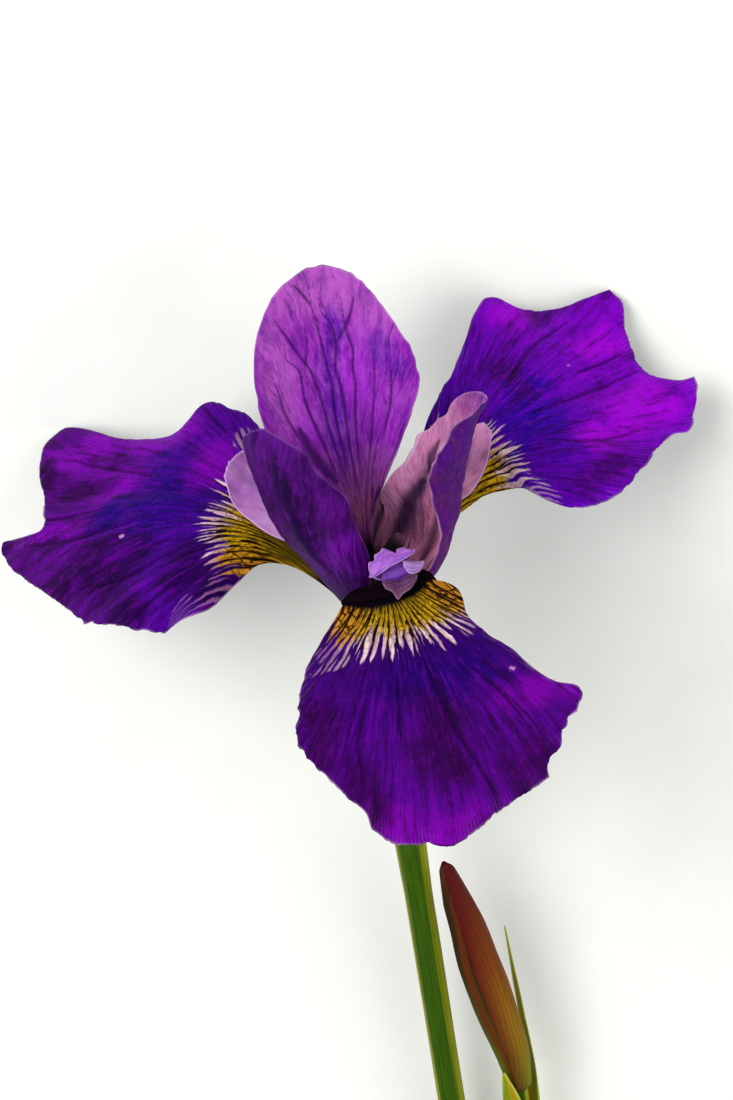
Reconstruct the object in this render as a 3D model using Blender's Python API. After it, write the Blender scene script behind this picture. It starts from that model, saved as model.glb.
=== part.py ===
# A single cut iris flower with a side bud, lying on its back on a flat surface.
# Everything is modelled in the flower's own frame, in millimetres: the throat at the origin,
# +Z up the flower's axis, -Y towards the front fall. An empty then lays the flower down.
import bpy
import bmesh
import numpy as np
from math import cos, pi, radians, sin
from mathutils import Matrix, Vector

mm = 0.001

# Driving sizes, in mm
petal_thickness = 0.7
arm_thickness = 0.8
stem_radius = 2.1
stem_length = 138.0
stem_drift = 0.015
ovary_top = 5.4
ovary_bottom = 19.0
spathe_base = 41.0
branch_node = 116.0
bend_start = 24.0
bend_length = 34.0
bend_angle = radians(15.0)
gap = 0.35

# How the cut flower lies: tipped back onto the edges of its two rear falls and the stem's cut end,
# with the throat this far from the middle of the patch it covers
lay_pitch = radians(-64.617)
lay_roll = radians(5.130)
lay_side = 2.25
lay_ahead = 39.68
lay_height = 36.943


def smoothCurve(points, at):
    """points of a smooth curve through the given points, at fractions 0..1 of its length"""
    p = np.asarray(points, float)
    knot = np.r_[0.0, np.cumsum(np.linalg.norm(np.diff(p, axis=0), axis=1))]
    slope = np.gradient(p, knot, axis=0)
    where = np.clip(np.asarray(at, float), 0.0, 1.0) * knot[-1]
    i = np.clip(np.searchsorted(knot, where, side="right") - 1, 0, len(knot) - 2)
    h = (knot[i + 1] - knot[i])[..., None]
    x = (where[..., None] - knot[i][..., None]) / h
    return ((2 * x**3 - 3 * x**2 + 1) * p[i] + (x**3 - 2 * x**2 + x) * h * slope[i]
            + (3 * x**2 - 2 * x**3) * p[i + 1] + (x**3 - x**2) * h * slope[i + 1])


class Leaf:
    """a flat petal, folded about its midrib and laid along a spine (out, up)

    left, right and tip are the outline's points (side, along, lift): each side runs from the
    claw's foot to a corner of the tip, and the tip runs from the left corner to the right one."""

    def __init__(self, shape):
        self.shape = shape
        self.line = smoothCurve(shape["spine"], np.linspace(0, 1, 401))
        self.length = np.r_[0.0, np.cumsum(np.linalg.norm(np.diff(self.line, axis=0), axis=1))]

    def flat(self, across, along):
        """across 0..1 from the left side to the right, along 0..1 from the foot to the tip"""
        left, right = (smoothCurve(self.shape[k], along) for k in ("left", "right"))
        tip = smoothCurve(self.shape["tip"], across)
        corners = [np.asarray(self.shape["tip"][k], float) for k in (0, -1)]
        u, v = across[..., None], along[..., None]
        rung = left + (right - left) * u
        bulge = tip - (corners[0] + (corners[1] - corners[0]) * u)
        place = rung + bulge * v**4
        near_left, near_right = np.clip(1 - 2 * across, 0, 1)**1.5, np.clip(2 * across - 1, 0, 1)**1.5
        lift = left[..., 2] * near_left + right[..., 2] * near_right
        lift = lift + (tip[..., 2] - lift) * along**8
        return place[..., 0], place[..., 1], lift

    def place(self, side, along, lift):
        """a place on the flat petal to its place in the flower"""
        total = self.length[-1]
        step = 0.75
        out, up = (np.interp(along, self.length, self.line[:, k]) for k in (0, 1))
        ahead = [np.interp(np.clip(along + step, 0, total), self.length, self.line[:, k]) for k in (0, 1)]
        behind = [np.interp(np.clip(along - step, 0, total), self.length, self.line[:, k]) for k in (0, 1)]
        end = self.line[-1] - self.line[-8]
        end = end / np.linalg.norm(end)
        past = np.clip(along - total, 0, None)
        t_out = np.where(past > 0, end[0], ahead[0] - behind[0])
        t_up = np.where(past > 0, end[1], ahead[1] - behind[1])
        size = np.hypot(t_out, t_up)
        t_out, t_up = t_out / size, t_up / size
        out, up = out + past * end[0], up + past * end[1]
        turn = np.radians(np.interp(along, *np.transpose(self.shape["twist"])))
        fold = np.interp(along, *np.transpose(self.shape["fold"]))
        fold = np.where(np.abs(fold) < 1e-5, 1e-5, fold)
        crease = np.clip(side, -self.shape.get("crease", 99), self.shape.get("crease", 99))
        bend = fold * crease
        x = np.sin(bend) / fold + (side - crease) * np.cos(bend) - lift * np.sin(bend)
        y = (1 - np.cos(bend)) / fold + (side - crease) * np.sin(bend) + lift * np.cos(bend)
        across = x * np.cos(turn) - y * np.sin(turn)
        raised = x * np.sin(turn) + y * np.cos(turn)
        out, up = out - raised * t_up, up + raised * t_out
        a = radians(self.shape["azimuth"])
        return np.stack([out * sin(a) + across * cos(a), -out * cos(a) + across * sin(a), up], -1)

    def grid(self, columns, rows):
        across, along = np.meshgrid(np.linspace(0, 1, columns + 1), np.linspace(0, 1, rows + 1))
        return self.place(*self.flat(across, along))


# The falls: narrow claws that arch out, then broad blades
fall_fold = [(0, 0.20), (12, 0.07), (17, 0.025), (24, 0.0), (70, -0.012)]
falls = {
    "fall_front": dict(
        azimuth=8, fold=fall_fold, twist=[(0, 0), (70, 0)],
        spine=[(3.2, 0.6), (8, 7), (14, 12), (20, 14.6), (27, 14.2), (38, 9.5), (47, 2.5), (54, -5)],
        left=[(-1.1, 0, 0), (-3, 7, 0), (-5.2, 13, 0), (-6.9, 18, 0), (-8.4, 20.7, -0.8), (-10.4, 22.5, -1.8),
              (-13.2, 25.5, -3), (-15.9, 30.2, -3), (-17.8, 36.3, -2), (-19.3, 41.4, -1), (-18.5, 44.4, -1),
              (-14.8, 51, -1), (-12.9, 54.6, -0.4), (-12.5, 57, 0)],
        tip=[(-12.5, 57, 0), (-10.8, 59, 0), (-8, 60.4, 0), (-5.2, 60.9, 0), (-2.6, 62, 0), (0, 61.5, 0),
             (3.2, 60, 0), (9.6, 57.6, 0.5), (13.4, 56.3, 1)],
        right=[(1.1, 0, 0), (3, 7, 0), (5.6, 13, 0), (8.2, 17.5, 0), (9.9, 20.4, -1), (10.2, 23.2, -1.3),
               (9.9, 27, -1.4), (11.2, 31.6, -0.8), (13.7, 36, 0.2), (15.7, 40, 1), (18, 43.2, 2),
               (21.2, 45.3, 3.2), (20.4, 47.4, 3), (18.2, 49.4, 2.1), (15.9, 52.9, 1.1), (13.7, 54.8, 1),
               (13.4, 56.3, 1)]),
    "fall_left": dict(
        azimuth=-120, fold=fall_fold, twist=[(0, 0), (14, 0), (30, -14), (70, -16)],
        spine=[(3.2, 0.6), (8, 7), (14, 12), (20, 15), (28, 15.8), (40, 13), (52, 8), (60, 4.5)],
        left=[(-1.1, 0, 0), (-2.6, 7, 0), (-4, 13, 0), (-6, 17.5, -1), (-9.5, 20.5, -1.5), (-14, 24, -1.5),
              (-17.8, 27, -1), (-19.7, 31.5, 0), (-20.3, 35.6, 0.8), (-17.2, 40.2, -0.7), (-16, 45, -1.4),
              (-17, 51, -1.4), (-19.5, 57, -0.4), (-22, 64.4, 1.6)],
        tip=[(-22, 64.4, 1.6), (-19, 65.9, 2), (-15, 65.5, 2), (-9, 62.9, 2), (-3, 59.5, 1.8), (1.6, 57.6, 0.9),
             (1.5, 61.5, 0), (0.7, 65.5, -0.8), (0.6, 68.3, -1.1), (2.4, 67.8, -1.3)],
        right=[(1.1, 0, 0), (2.8, 7, 0), (4.6, 12.5, -0.3), (6.8, 15.6, -1.2), (11, 16.8, -3.4), (17.3, 18, -4.9),
               (22.4, 21.8, -4), (23.8, 29, -1.5), (22.7, 39, -1), (20.6, 44, -1), (17.3, 49.3, -1),
               (13.3, 54.7, -1), (9.5, 60, -1), (4.6, 66.2, -1.2), (2.4, 67.8, -1.3)]),
    "fall_right": dict(
        azimuth=126, fold=fall_fold, twist=[(0, 0), (14, 0), (30, 22), (70, 25)],
        spine=[(3.2, 0.6), (8, 7), (14, 12), (20, 15.5), (28, 17.5), (40, 17), (52, 15), (60, 14)],
        left=[(-1.1, 0, 0), (-2.6, 7, 0), (-4, 13, 0), (-4.6, 18, -2), (-5.1, 21.2, -2.8), (-7.4, 25, -3),
              (-9, 27.2, -2.9), (-13.8, 28.2, -2), (-17.2, 31.4, -2), (-18.9, 38.5, -1), (-18.2, 44.7, -1),
              (-16.4, 49.8, -1), (-14.5, 54.6, -1), (-14, 57.4, -1), (-14.6, 59.5, -1), (-13.2, 61.8, -0.9),
              (-10.3, 64.9, -0.3), (-7.2, 66.8, -0.1)],
        tip=[(-7.2, 66.8, -0.1), (-6.5, 64.4, -0.5), (-4.5, 62.6, -0.8), (-0.6, 61.7, -1), (2.2, 62.1, -0.6),
             (5, 62.8, 0), (8.6, 65.3, 1.2), (12, 65.5, 1.6)],
        right=[(1.1, 0, 0), (2.6, 7, 0), (4, 13, 0), (6.3, 19.5, -0.5), (9.4, 26, -1), (12.2, 33, -1),
               (16, 39.2, -0.1), (19.6, 44.2, 1.2), (20.9, 47.3, 1.9), (20, 49.8, 1.8), (18.2, 51.2, 0.9),
               (16.3, 54, -0.2), (14.4, 58.2, -0.9), (12.7, 61, 0.1), (12.2, 63.5, 0.9), (12, 65.5, 1.6)]),
}

# The standards: upright inner petals, the two front ones folded lengthwise
standards = {
    "standard_back": dict(
        azimuth=177, fold=[(0, 0.25), (15, 0.08), (50, 0.03)], twist=[(0, 0), (54, 4)],
        spine=[(3.0, 0.6), (3.8, 8), (5.5, 20), (8.5, 32), (12, 44), (15, 54)],
        left=[(-0.9, 0, 0), (-1.3, 7, 0), (-2, 13, 0), (-4.8, 19.2, 0), (-8.4, 25.2, 0), (-11.4, 30.4, 0),
              (-12.9, 34.6, 0), (-12.6, 38.4, 0), (-10.6, 43.3, 0.4), (-7.6, 47.7, 0.5)],
        tip=[(-7.6, 47.7, 0.5), (-6.2, 49.8, 0.2), (-3.9, 51.9, 0), (-0.8, 53.2, 0), (2.6, 53, 0),
             (5.6, 51.8, 0.3), (7.8, 50.2, 0.4)],
        right=[(0.9, 0, 0), (1.3, 7, 0), (2, 13, 0), (4.8, 18.5, 0), (9, 24.5, 0), (12.2, 29.3, 0),
               (12.9, 33, 0), (12.9, 38, 0), (12.4, 41.6, 0), (10.6, 46.4, 0.4), (7.8, 50.2, 0.4)]),
    "standard_left": dict(
        azimuth=-58, fold=[(0, 0.25), (8, 0.17), (25, 0.12), (40, 0.10), (50, 0.08)], twist=[(0, 0), (47, 0)],
        spine=[(3.0, 0.6), (5.5, 6), (8.5, 12.3), (11.8, 19), (14.4, 28.5), (15.2, 37), (14.4, 43)],
        left=[(-0.9, 0, 0), (-2.2, 5, 0), (-3, 10, 0), (-4.3, 16, 0), (-8, 23.7, 0), (-9.8, 29, 0),
              (-9.4, 32.5, 0), (-6.4, 37, 0)],
        tip=[(-6.4, 37, 0), (-3, 40.6, 0), (1.8, 43.6, 0), (5.6, 42.8, 0), (9, 40.6, 0)],
        right=[(0.9, 0, 0), (3.1, 5, 0), (6.2, 9.8, 0), (9.1, 15, 0), (11.8, 22.8, 0), (12.7, 29.4, 0),
               (11.3, 33.3, 0), (9.9, 36.8, 0), (9, 40.6, 0)]),
    "standard_right": dict(
        azimuth=61, twist=[(0, 0), (50, 0)], crease=6,
        fold=[(0, 0.25), (8, 0.22), (20, 0.24), (40, 0.16), (50, 0.10)],
        spine=[(3.0, 0.6), (6.5, 5), (11, 10.5), (14.8, 18), (18.5, 28), (21.5, 36), (24.5, 43.5)],
        left=[(-0.9, 0, 0), (-2.2, 5, 0), (-3.4, 11, 0), (-2.6, 17.2, 0), (-2.7, 20.5, 0), (-4.2, 25, 0),
              (-5.6, 29, 0), (-6.8, 34, 0), (-6.7, 37, 0), (-6, 40.4, 0), (-5.8, 44.2, 0)],
        tip=[(-5.8, 44.2, 0), (-3.4, 46.8, 0), (-1, 47.8, 0), (2.5, 46, 0), (6.8, 42.6, 0)],
        right=[(0.9, 0, 0), (3.6, 5, 0), (7, 9.2, 0), (10.8, 13, 0), (13.6, 17.4, 0), (14.2, 22, 0),
               (13.9, 26, 0), (13.9, 29.2, 0), (12.4, 31, 0), (11.2, 34, 0), (9.8, 36, 0), (9.4, 38.5, 0),
               (8.3, 41, 0), (6.8, 42.6, 0)]),
}

# The style arms: petal-like arches over the claws of the falls, each ending in a crest turned up
arm_fold = [(0, 0.10), (6, -0.02), (12, -0.075), (18, -0.07), (23, -0.02), (30, 0.02)]


arms = {
    "style_arm_front": dict(
        azimuth=17, fold=arm_fold, twist=[(0, 0), (30, 0)],
        spine=[(1.9, 5.6), (4.2, 10), (8, 13.2), (12, 14.7), (15.2, 15.6), (17, 18.6)],
        left=[(-0.8, 0, 0), (-1.7, 5, 0), (-2.4, 10, 0), (-4, 14.5, 0), (-5.4, 17.4, 0), (-5.2, 20.6, 0.4),
              (-3.6, 22.8, 1)],
        tip=[(-3.6, 22.8, 1), (-1.8, 23.6, 1.2), (0, 21.6, 0.8), (1.8, 22.6, 1.2), (3.6, 21.6, 1)],
        right=[(0.8, 0, 0), (1.8, 5, 0), (2.8, 10, 0), (4.5, 14.5, 0), (5.6, 17, 0), (5.2, 19.8, 0.4),
               (3.6, 21.6, 1)]),
    "style_arm_left": dict(
        azimuth=-118, fold=arm_fold, twist=[(0, 0), (30, 0)],
        spine=[(1.9, 5.6), (4.2, 10), (9, 15), (14, 18.4), (18.5, 20.5), (21.5, 23.5)],
        left=[(-0.8, 0, 0), (-1.8, 5, 0), (-2.8, 10, 0), (-5, 14.5, 0), (-7.4, 18.5, 0), (-8.8, 22, 0.2),
              (-8.2, 24.9, 0.5)],
        tip=[(-8.2, 24.9, 0.5), (-6, 25.9, 0.6), (-3.4, 26.6, 0.9), (-1.1, 26.8, 0.9), (1.1, 26.3, 0.8),
             (2.4, 25.2, 0.8)],
        right=[(0.8, 0, 0), (1.8, 5, 0), (3.6, 10, 0), (4.8, 13.5, 0), (5.2, 16, 0), (5, 18.5, 0),
               (4.5, 21.2, 0), (3.8, 23.2, 0.3), (2.4, 25.2, 0.8)]),
    "style_arm_right": dict(
        azimuth=124, fold=arm_fold, twist=[(0, 0), (30, 0)],
        spine=[(1.9, 5.6), (4.7, 8.9), (9.5, 13.2), (15, 16.5), (20, 18.6), (23.5, 21.6)],
        left=[(-0.8, 0, 0), (-1.8, 5, 0), (-3, 10, 0), (-5.4, 14.5, 0), (-6.6, 18, 0), (-6.4, 22, 0.1),
              (-5.8, 25.8, 0.6), (-5.2, 27.4, 0.9)],
        tip=[(-5.2, 27.4, 0.9), (-3, 28.2, 1.2), (-1, 27.2, 0.9), (1, 28, 1.2), (3, 27.1, 1)],
        right=[(0.8, 0, 0), (1.8, 5, 0), (2.6, 10, 0), (4, 14.5, 0), (4.8, 20, 0), (4.4, 24.6, 0.4), (3, 27.1, 1)]),
}


def material(name, colour, roughness):
    made = bpy.data.materials.new(name)
    made.use_nodes = True
    shader = made.node_tree.nodes["Principled BSDF"]
    shader.inputs["Base Color"].default_value = (*colour, 1)
    shader.inputs["Roughness"].default_value = roughness
    made.diffuse_color = (*colour, 1)
    return made


def build(name, points, faces, look, smooth=True):
    """one mesh object in the flower's frame, from points in mm"""
    mesh = bpy.data.meshes.new(name)
    mesh.from_pydata([tuple(float(v) * mm for v in p) for p in points], [], faces)
    mesh.validate()
    if smooth:
        mesh.shade_smooth()
    mesh.materials.append(look)
    made = bpy.data.objects.new(name, mesh)
    bpy.context.scene.collection.objects.link(made)
    made.parent = flower
    return made


def sheet(name, grid, look, thickness):
    """a grid of points with the Solidify modifier giving it its thickness"""
    rows, columns = grid.shape[:2]
    faces = [(r * columns + c, r * columns + c + 1, (r + 1) * columns + c + 1, (r + 1) * columns + c)
             for r in range(rows - 1) for c in range(columns - 1)]
    made = build(name, grid.reshape(-1, 3), faces, look)
    solid = made.modifiers.new("thickness", "SOLIDIFY")
    solid.thickness = thickness * mm
    solid.offset = 0.0
    return made


def loft(name, rings, look):
    """a closed body from rings of points, with a flat cap at each end"""
    count = len(rings[0])
    points = [p for ring in rings for p in ring]
    faces = [(r * count + c, r * count + (c + 1) % count, (r + 1) * count + (c + 1) % count, (r + 1) * count + c)
             for r in range(len(rings) - 1) for c in range(count)]
    faces.append(tuple(reversed(range(count))))
    faces.append(tuple((len(rings) - 1) * count + c for c in range(count)))
    made = build(name, points, faces, look)
    made.data.set_sharp_from_angle(angle=radians(50))
    return made


def stemPoint(down):
    """the stem's centre line: straight below the throat, then leaning forward past the bend"""
    bent = np.clip((down - bend_start) / bend_length, 0.0, 1.0)
    turn_radius = bend_length / bend_angle
    forward = turn_radius * (1 - cos(bend_angle * bent))
    drop = min(down, bend_start) + turn_radius * sin(bend_angle * bent)
    past = max(down - bend_start - bend_length, 0.0)
    centre = Vector((-stem_drift * down, -forward - past * sin(bend_angle), -drop - past * cos(bend_angle)))
    lean = bend_angle * bent
    return centre, Vector((0.0, -cos(lean), sin(lean)))


def besideStem(side, down, forward):
    """a place beside the stem: side to the right, and forward towards the viewer of the flower"""
    centre, front = stemPoint(down)
    return centre + Vector((side + stem_drift * down, 0, 0)) + front * forward


def tubeAlong(name, centres, radii, sides, look, lobes=0.0):
    """a closed tube along a line of centres; lobes gives its section three low ribs"""
    rings = []
    for k, centre in enumerate(centres):
        ahead = (centres[min(k + 1, len(centres) - 1)] - centres[max(k - 1, 0)]).normalized()
        front = ahead.cross(Vector((1, 0, 0))).normalized()
        across = front.cross(ahead)
        ring = []
        for c in range(sides):
            a = 2 * pi * c / sides
            radius = radii[k] * (1 + lobes * cos(3 * a))
            ring.append(centre + across * radius * cos(a) + front * radius * sin(a))
        rings.append(ring)
    return loft(name, rings, look)


def bract(name, centres, radii, wraps, facing, look, thickness, columns=10):
    """a leaf wrapped round a line of centres, from its base to its tip; wraps are half-angles"""
    rows = []
    for k, centre in enumerate(centres):
        ahead = (centres[min(k + 1, len(centres) - 1)] - centres[max(k - 1, 0)]).normalized()
        front = ahead.cross(Vector((1, 0, 0))).normalized()
        across = front.cross(ahead)
        rows.append([centre + (across * sin(a) - front * cos(a)) * radii[k]
                     for a in facing + np.linspace(-wraps[k], wraps[k], columns + 1)])
    return sheet(name, np.array(rows), look, thickness)


for old in list(bpy.data.objects):
    bpy.data.objects.remove(old, do_unlink=True)

flower = bpy.data.objects.new("flower_frame", None)
bpy.context.scene.collection.objects.link(flower)
flower.matrix_world = (Matrix.Translation(Vector((lay_side, lay_ahead, lay_height)) * mm)
                       @ Matrix.Rotation(lay_roll, 4, "Y") @ Matrix.Rotation(lay_pitch, 4, "X"))

violet = material("fall_violet", (0.13, 0.004, 0.31), 0.55)
purple = material("standard_purple", (0.28, 0.03, 0.38), 0.55)
lilac = material("style_lilac", (0.45, 0.2, 0.55), 0.5)
cream = material("anther_cream", (0.75, 0.68, 0.45), 0.7)
green = material("stem_green", (0.09, 0.15, 0.01), 0.5)
papery = material("spathe_green_brown", (0.2, 0.17, 0.05), 0.6)
bud_brown = material("bud_spathe_brown", (0.22, 0.08, 0.02), 0.5)
bud_violet = material("bud_violet", (0.15, 0.03, 0.2), 0.5)

for name, shape in falls.items():
    sheet(name, Leaf(shape).grid(14, 18), violet, petal_thickness)
for name, shape in standards.items():
    sheet(name, Leaf(shape).grid(12, 15), purple, petal_thickness)
for name, shape in arms.items():
    sheet(name, Leaf(shape).grid(10, 10), lilac, arm_thickness)

# The flower's middle: tube, style column and the three stamens under the style arms
def upAxis(z):
    return Vector((0, 0, z))


tubeAlong("perianth_tube", [upAxis(z) for z in (-5.0, -3.5, -1.5, -0.3, 0.0)], [2.4, 2.5, 3.1, 3.9, 4.0], 18, violet)
tubeAlong("style_column", [upAxis(z) for z in (0.35, 2.5, 5.05)], [1.45, 1.3, 1.6], 12, lilac)
for side, azimuth in (("front", 11), ("left", -119), ("right", 125)):
    outward = Vector((sin(radians(azimuth)), -cos(radians(azimuth)), 0))
    filament = smoothCurve([(2.2, 0.5), (3.2, 4.2), (5.1, 7.3), (7.2, 9.3)], np.linspace(0, 1, 7))
    tubeAlong("filament_" + side, [outward * a + upAxis(b) for a, b in filament], [0.38] * 7, 6, lilac)
    anther = smoothCurve([(7.6, 9.7), (9.8, 10.9), (12.4, 12.1)], np.linspace(0, 1, 6))
    tubeAlong("anther_" + side, [outward * a + upAxis(b) for a, b in anther],
              [0.35, 0.6, 0.65, 0.65, 0.6, 0.3], 8, cream)

# Ovary, stem and the two spathe leaves that wrap the foot of the flower's own stalk
ovary_at = np.linspace(ovary_top, ovary_bottom, 8)
tubeAlong("ovary", [stemPoint(d)[0] for d in ovary_at], [2.4, 2.9, 3.2, 3.3, 3.2, 2.9, 2.5, 2.1], 18, green, 0.07)
stem_at = np.r_[np.linspace(ovary_bottom + gap, spathe_base, 6), np.linspace(spathe_base + 5, branch_node - 6, 13),
                branch_node - 2, branch_node + 1, branch_node + 4, np.linspace(branch_node + 9, stem_length, 3)]
stem_width = np.interp(stem_at, [19, 30, 43, 52, 80, 110, 116, 121, 138],
                       [0.86, 0.92, 1.15, 1.04, 1.0, 1.02, 1.22, 1.03, 1.05])
tubeAlong("stem", [stemPoint(d)[0] for d in stem_at], stem_radius * stem_width, 14, green)

for name, tip, wrap, facing in (("spathe_outer", 11.0, 98, 0.0), ("spathe_inner", 15.0, 72, pi)):
    at = np.linspace(spathe_base, tip, 12)
    s = np.linspace(0, 1, 12)
    radii = np.interp(at, [11, 16, 22, 32, 42], [4.6, 4.5, 4.0, 3.4, 3.1])
    wraps = np.radians(wrap) * np.clip(1 - s**2.4, 0.06, 1)
    bract(name, [stemPoint(d)[0] for d in at], radii, wraps, facing, papery, 0.5)

# The side bud: its stalk, the furled flower inside, and the leaves that wrap them
def budLine(points, count):
    return [besideStem(*p) for p in smoothCurve(points, np.linspace(0, 1, count))]


stalk_line = [(2.2, 114.5, 0.8), (4.8, 110, 1.2), (7.6, 103, 1.8), (9.2, 95, 2), (9.5, 88, 2)]
tubeAlong("bud_stalk", budLine(stalk_line, 9), [1.3, 1.3, 1.3, 1.3, 1.3, 1.3, 1.35, 1.35, 1.35], 10, green)
bud_line = [(9.5, 87.6, 2), (9.0, 81, 2), (7.9, 75, 2), (7.1, 70, 2), (6.2, 64.8, 2), (5.6, 59.5, 2), (4.9, 55, 2),
            (4.3, 50.5, 2), (3.8, 46.9, 2)]
bud_width = [0.45, 1.4, 1.75, 2.05, 2.1, 1.8, 1.35, 0.8, 0.3]
s = np.linspace(0, 1, 12)
centres = budLine(bud_line, 12)
fat = np.interp(s, np.linspace(0, 1, 9), bud_width)
tubeAlong("bud", centres[:10], np.r_[fat[:9], 0.55], 12, bud_violet, 0.04)
left_radii = np.r_[(fat + 0.65)[:9], 1.5, 0.7]
right_radii = np.r_[(fat + 1.45)[:9], 2.35, 1.65, 0.9]
bract("bud_spathe_left", centres[:11], left_radii, np.radians(np.r_[[96] * 10, 80]), -pi / 2, bud_brown, 0.5)
bract("bud_spathe_right", centres, right_radii, np.radians(np.r_[[102] * 11, 84]), pi / 2, bud_brown, 0.5)

# The two leaves at the foot of the bud's stalk: a long narrow one on its right, a short one on its left
long_at = np.linspace(0, 1, 14)
long_line = [(3.4, 112.6, 1.0), (5.8, 107.5, 1.5), (8.4, 99.5, 1.8), (10.2, 91, 0.8), (10.9, 84, -0.2),
             (11.2, 77, -0.8), (11.1, 70, -1), (10.9, 61.5, -1)]
bract("bud_bract_long", [besideStem(*p) for p in smoothCurve(long_line, long_at)],
      np.interp(long_at, [0, 0.4, 0.55, 0.7, 1], [1.9, 2.2, 1.8, 1.1, 0.9]),
      np.radians(np.interp(long_at, [0, 0.3, 0.5, 0.8, 1], [95, 80, 48, 34, 18])), pi / 2 + 0.7, green, 0.4, 6)
short_at = np.linspace(0, 1, 9)
short_line = [(2.9, 113.4, 3.2), (4.6, 108.6, 3.0), (7.0, 101, 2.4), (8.6, 93.5, 2.2)]
bract("bud_bract_short", [besideStem(*p) for p in smoothCurve(short_line, short_at)],
      np.interp(short_at, [0, 0.5, 1], [2.2, 2.3, 2.7]),
      np.radians(np.interp(short_at, [0, 0.5, 0.85, 1], [58, 50, 30, 8])), -0.9, green, 0.4, 6)
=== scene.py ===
# A cut iris lying on its back: fine petals, style arms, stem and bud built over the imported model.
from functools import partial
from math import cos, pi, radians, sin, tan

import bpy
import numpy as np
from mathutils import Matrix, Vector


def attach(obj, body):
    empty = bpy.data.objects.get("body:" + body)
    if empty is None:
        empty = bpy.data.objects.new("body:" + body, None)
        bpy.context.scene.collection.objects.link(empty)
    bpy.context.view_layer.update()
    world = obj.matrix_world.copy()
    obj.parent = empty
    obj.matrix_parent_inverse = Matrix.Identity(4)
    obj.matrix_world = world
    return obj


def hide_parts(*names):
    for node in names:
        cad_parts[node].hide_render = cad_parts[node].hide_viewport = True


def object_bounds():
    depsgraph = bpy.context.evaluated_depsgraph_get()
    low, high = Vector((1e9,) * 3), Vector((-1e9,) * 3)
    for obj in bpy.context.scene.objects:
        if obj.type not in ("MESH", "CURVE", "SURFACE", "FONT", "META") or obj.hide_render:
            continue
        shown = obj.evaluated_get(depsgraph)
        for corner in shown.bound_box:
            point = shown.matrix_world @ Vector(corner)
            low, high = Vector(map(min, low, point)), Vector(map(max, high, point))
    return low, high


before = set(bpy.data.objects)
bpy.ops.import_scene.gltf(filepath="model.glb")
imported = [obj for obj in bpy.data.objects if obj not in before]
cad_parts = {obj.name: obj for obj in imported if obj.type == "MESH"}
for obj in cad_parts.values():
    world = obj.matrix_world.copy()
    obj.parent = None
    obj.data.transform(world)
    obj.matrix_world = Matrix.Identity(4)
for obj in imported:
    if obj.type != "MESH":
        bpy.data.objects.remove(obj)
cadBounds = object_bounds()
mm = 0.001

# How the flower lies on the floor: the flower's own frame has its throat at the origin,
# +Z up its axis and -Y towards the front fall, in mm
lying = {"pitch": -64.617, "roll": 5.130, "throat": (2.25, 39.68, 36.943)}
layDown = (Matrix.Translation(Vector(lying["throat"]))
           @ Matrix.Rotation(radians(lying["roll"]), 4, "Y")
           @ Matrix.Rotation(radians(lying["pitch"]), 4, "X"))


def toWorld(points):
    turn = np.array(layDown.to_3x3())
    return (np.asarray(points) @ turn.T + np.array(layDown.translation)) * mm


def linear(hexColour):
    channels = [int(hexColour[k:k + 2], 16) / 255 for k in (1, 3, 5)]
    return [c / 12.92 if c <= 0.04045 else ((c + 0.055) / 1.055) ** 2.4 for c in channels] + [1.0]


# short names for kinds of node: type, the sockets its inputs go to, its output and its settings;
# any other name is the operation of a Math node
nodeKinds = {
    "mix": ("Mix", (0, 6, 7), 2, {"data_type": "RGBA"}),
    "map": ("MapRange", range(5), 0, {}),
    "soften": ("MapRange", range(5), 0, {"interpolation_type": "SMOOTHSTEP"}),
    "ramp": ("ValToRGB", (0,), 0, {}),
    "join": ("CombineXYZ", range(3), 0, {}),
    "split": ("SeparateXYZ", (0,), 0, {}),
    "noise": ("TexNoise", ("Vector", "Scale", "Detail", "Roughness", "Distortion"), 0, {}),
    "cells": ("TexVoronoi", ("Vector", "Scale", "Randomness"), 0, {}),
    "chance": ("TexWhiteNoise", ("W",), 1, {"noise_dimensions": "1D"}),
    "distance": ("VectorMath", (0, 1), 1, {"operation": "DISTANCE"}),
    "bump": ("Bump", ("Strength", "Distance", "Height"), 0, {}),
    "attribute": ("Attribute", (), "Vector", {}),
    "place": ("TexCoord", (), "Object", {}),
}


def addNode(tree, kind, *inputs, stops=(), **settings):
    # one node with its settings; inputs are links, numbers or hex colours; gives back an output
    usual = ("Math", range(3), 0, {"operation": kind.upper()})
    name, sockets, out, usualSettings = nodeKinds.get(kind, usual)
    node = tree.nodes.new("ShaderNode" + name)
    for key, value in {**usualSettings, **settings}.items():
        setattr(node, key, value)
    for key, value in zip(sockets, inputs):
        if isinstance(value, bpy.types.NodeSocket):
            tree.links.new(value, node.inputs[key])
        else:
            node.inputs[key].default_value = linear(value) if isinstance(value, str) else value
    if stops:
        ramp = node.color_ramp
        while len(ramp.elements) < len(stops):
            ramp.elements.new(1.0)
        for element, (place, colour) in zip(ramp.elements, stops):
            element.position = place
            element.color = linear(colour)
    return node.outputs[out]


def newSkin(name, *marks):
    # a new material, its add function and the outputs of each of its piece's marks
    skin = bpy.data.materials.new(name)
    skin.use_nodes = True
    add = partial(addNode, skin.node_tree)
    return skin, add, *(add("split", add("attribute", attribute_name=mark)).node.outputs for mark in marks)


gloss = {"fall": 0.02, "standard": 0.04, "arm": 0.15, "leaf": 0.06, "pollen": 0.5}


def dress(skin, colour, rough, bump, shine):
    tree = skin.node_tree
    shader = tree.nodes["Principled BSDF"]
    for socket, value in (("Base Color", colour), ("Roughness", rough), ("Normal", bump)):
        tree.links.new(value, shader.inputs[socket])
    shader.inputs["Specular IOR Level"].default_value = shine
    return skin


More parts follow.
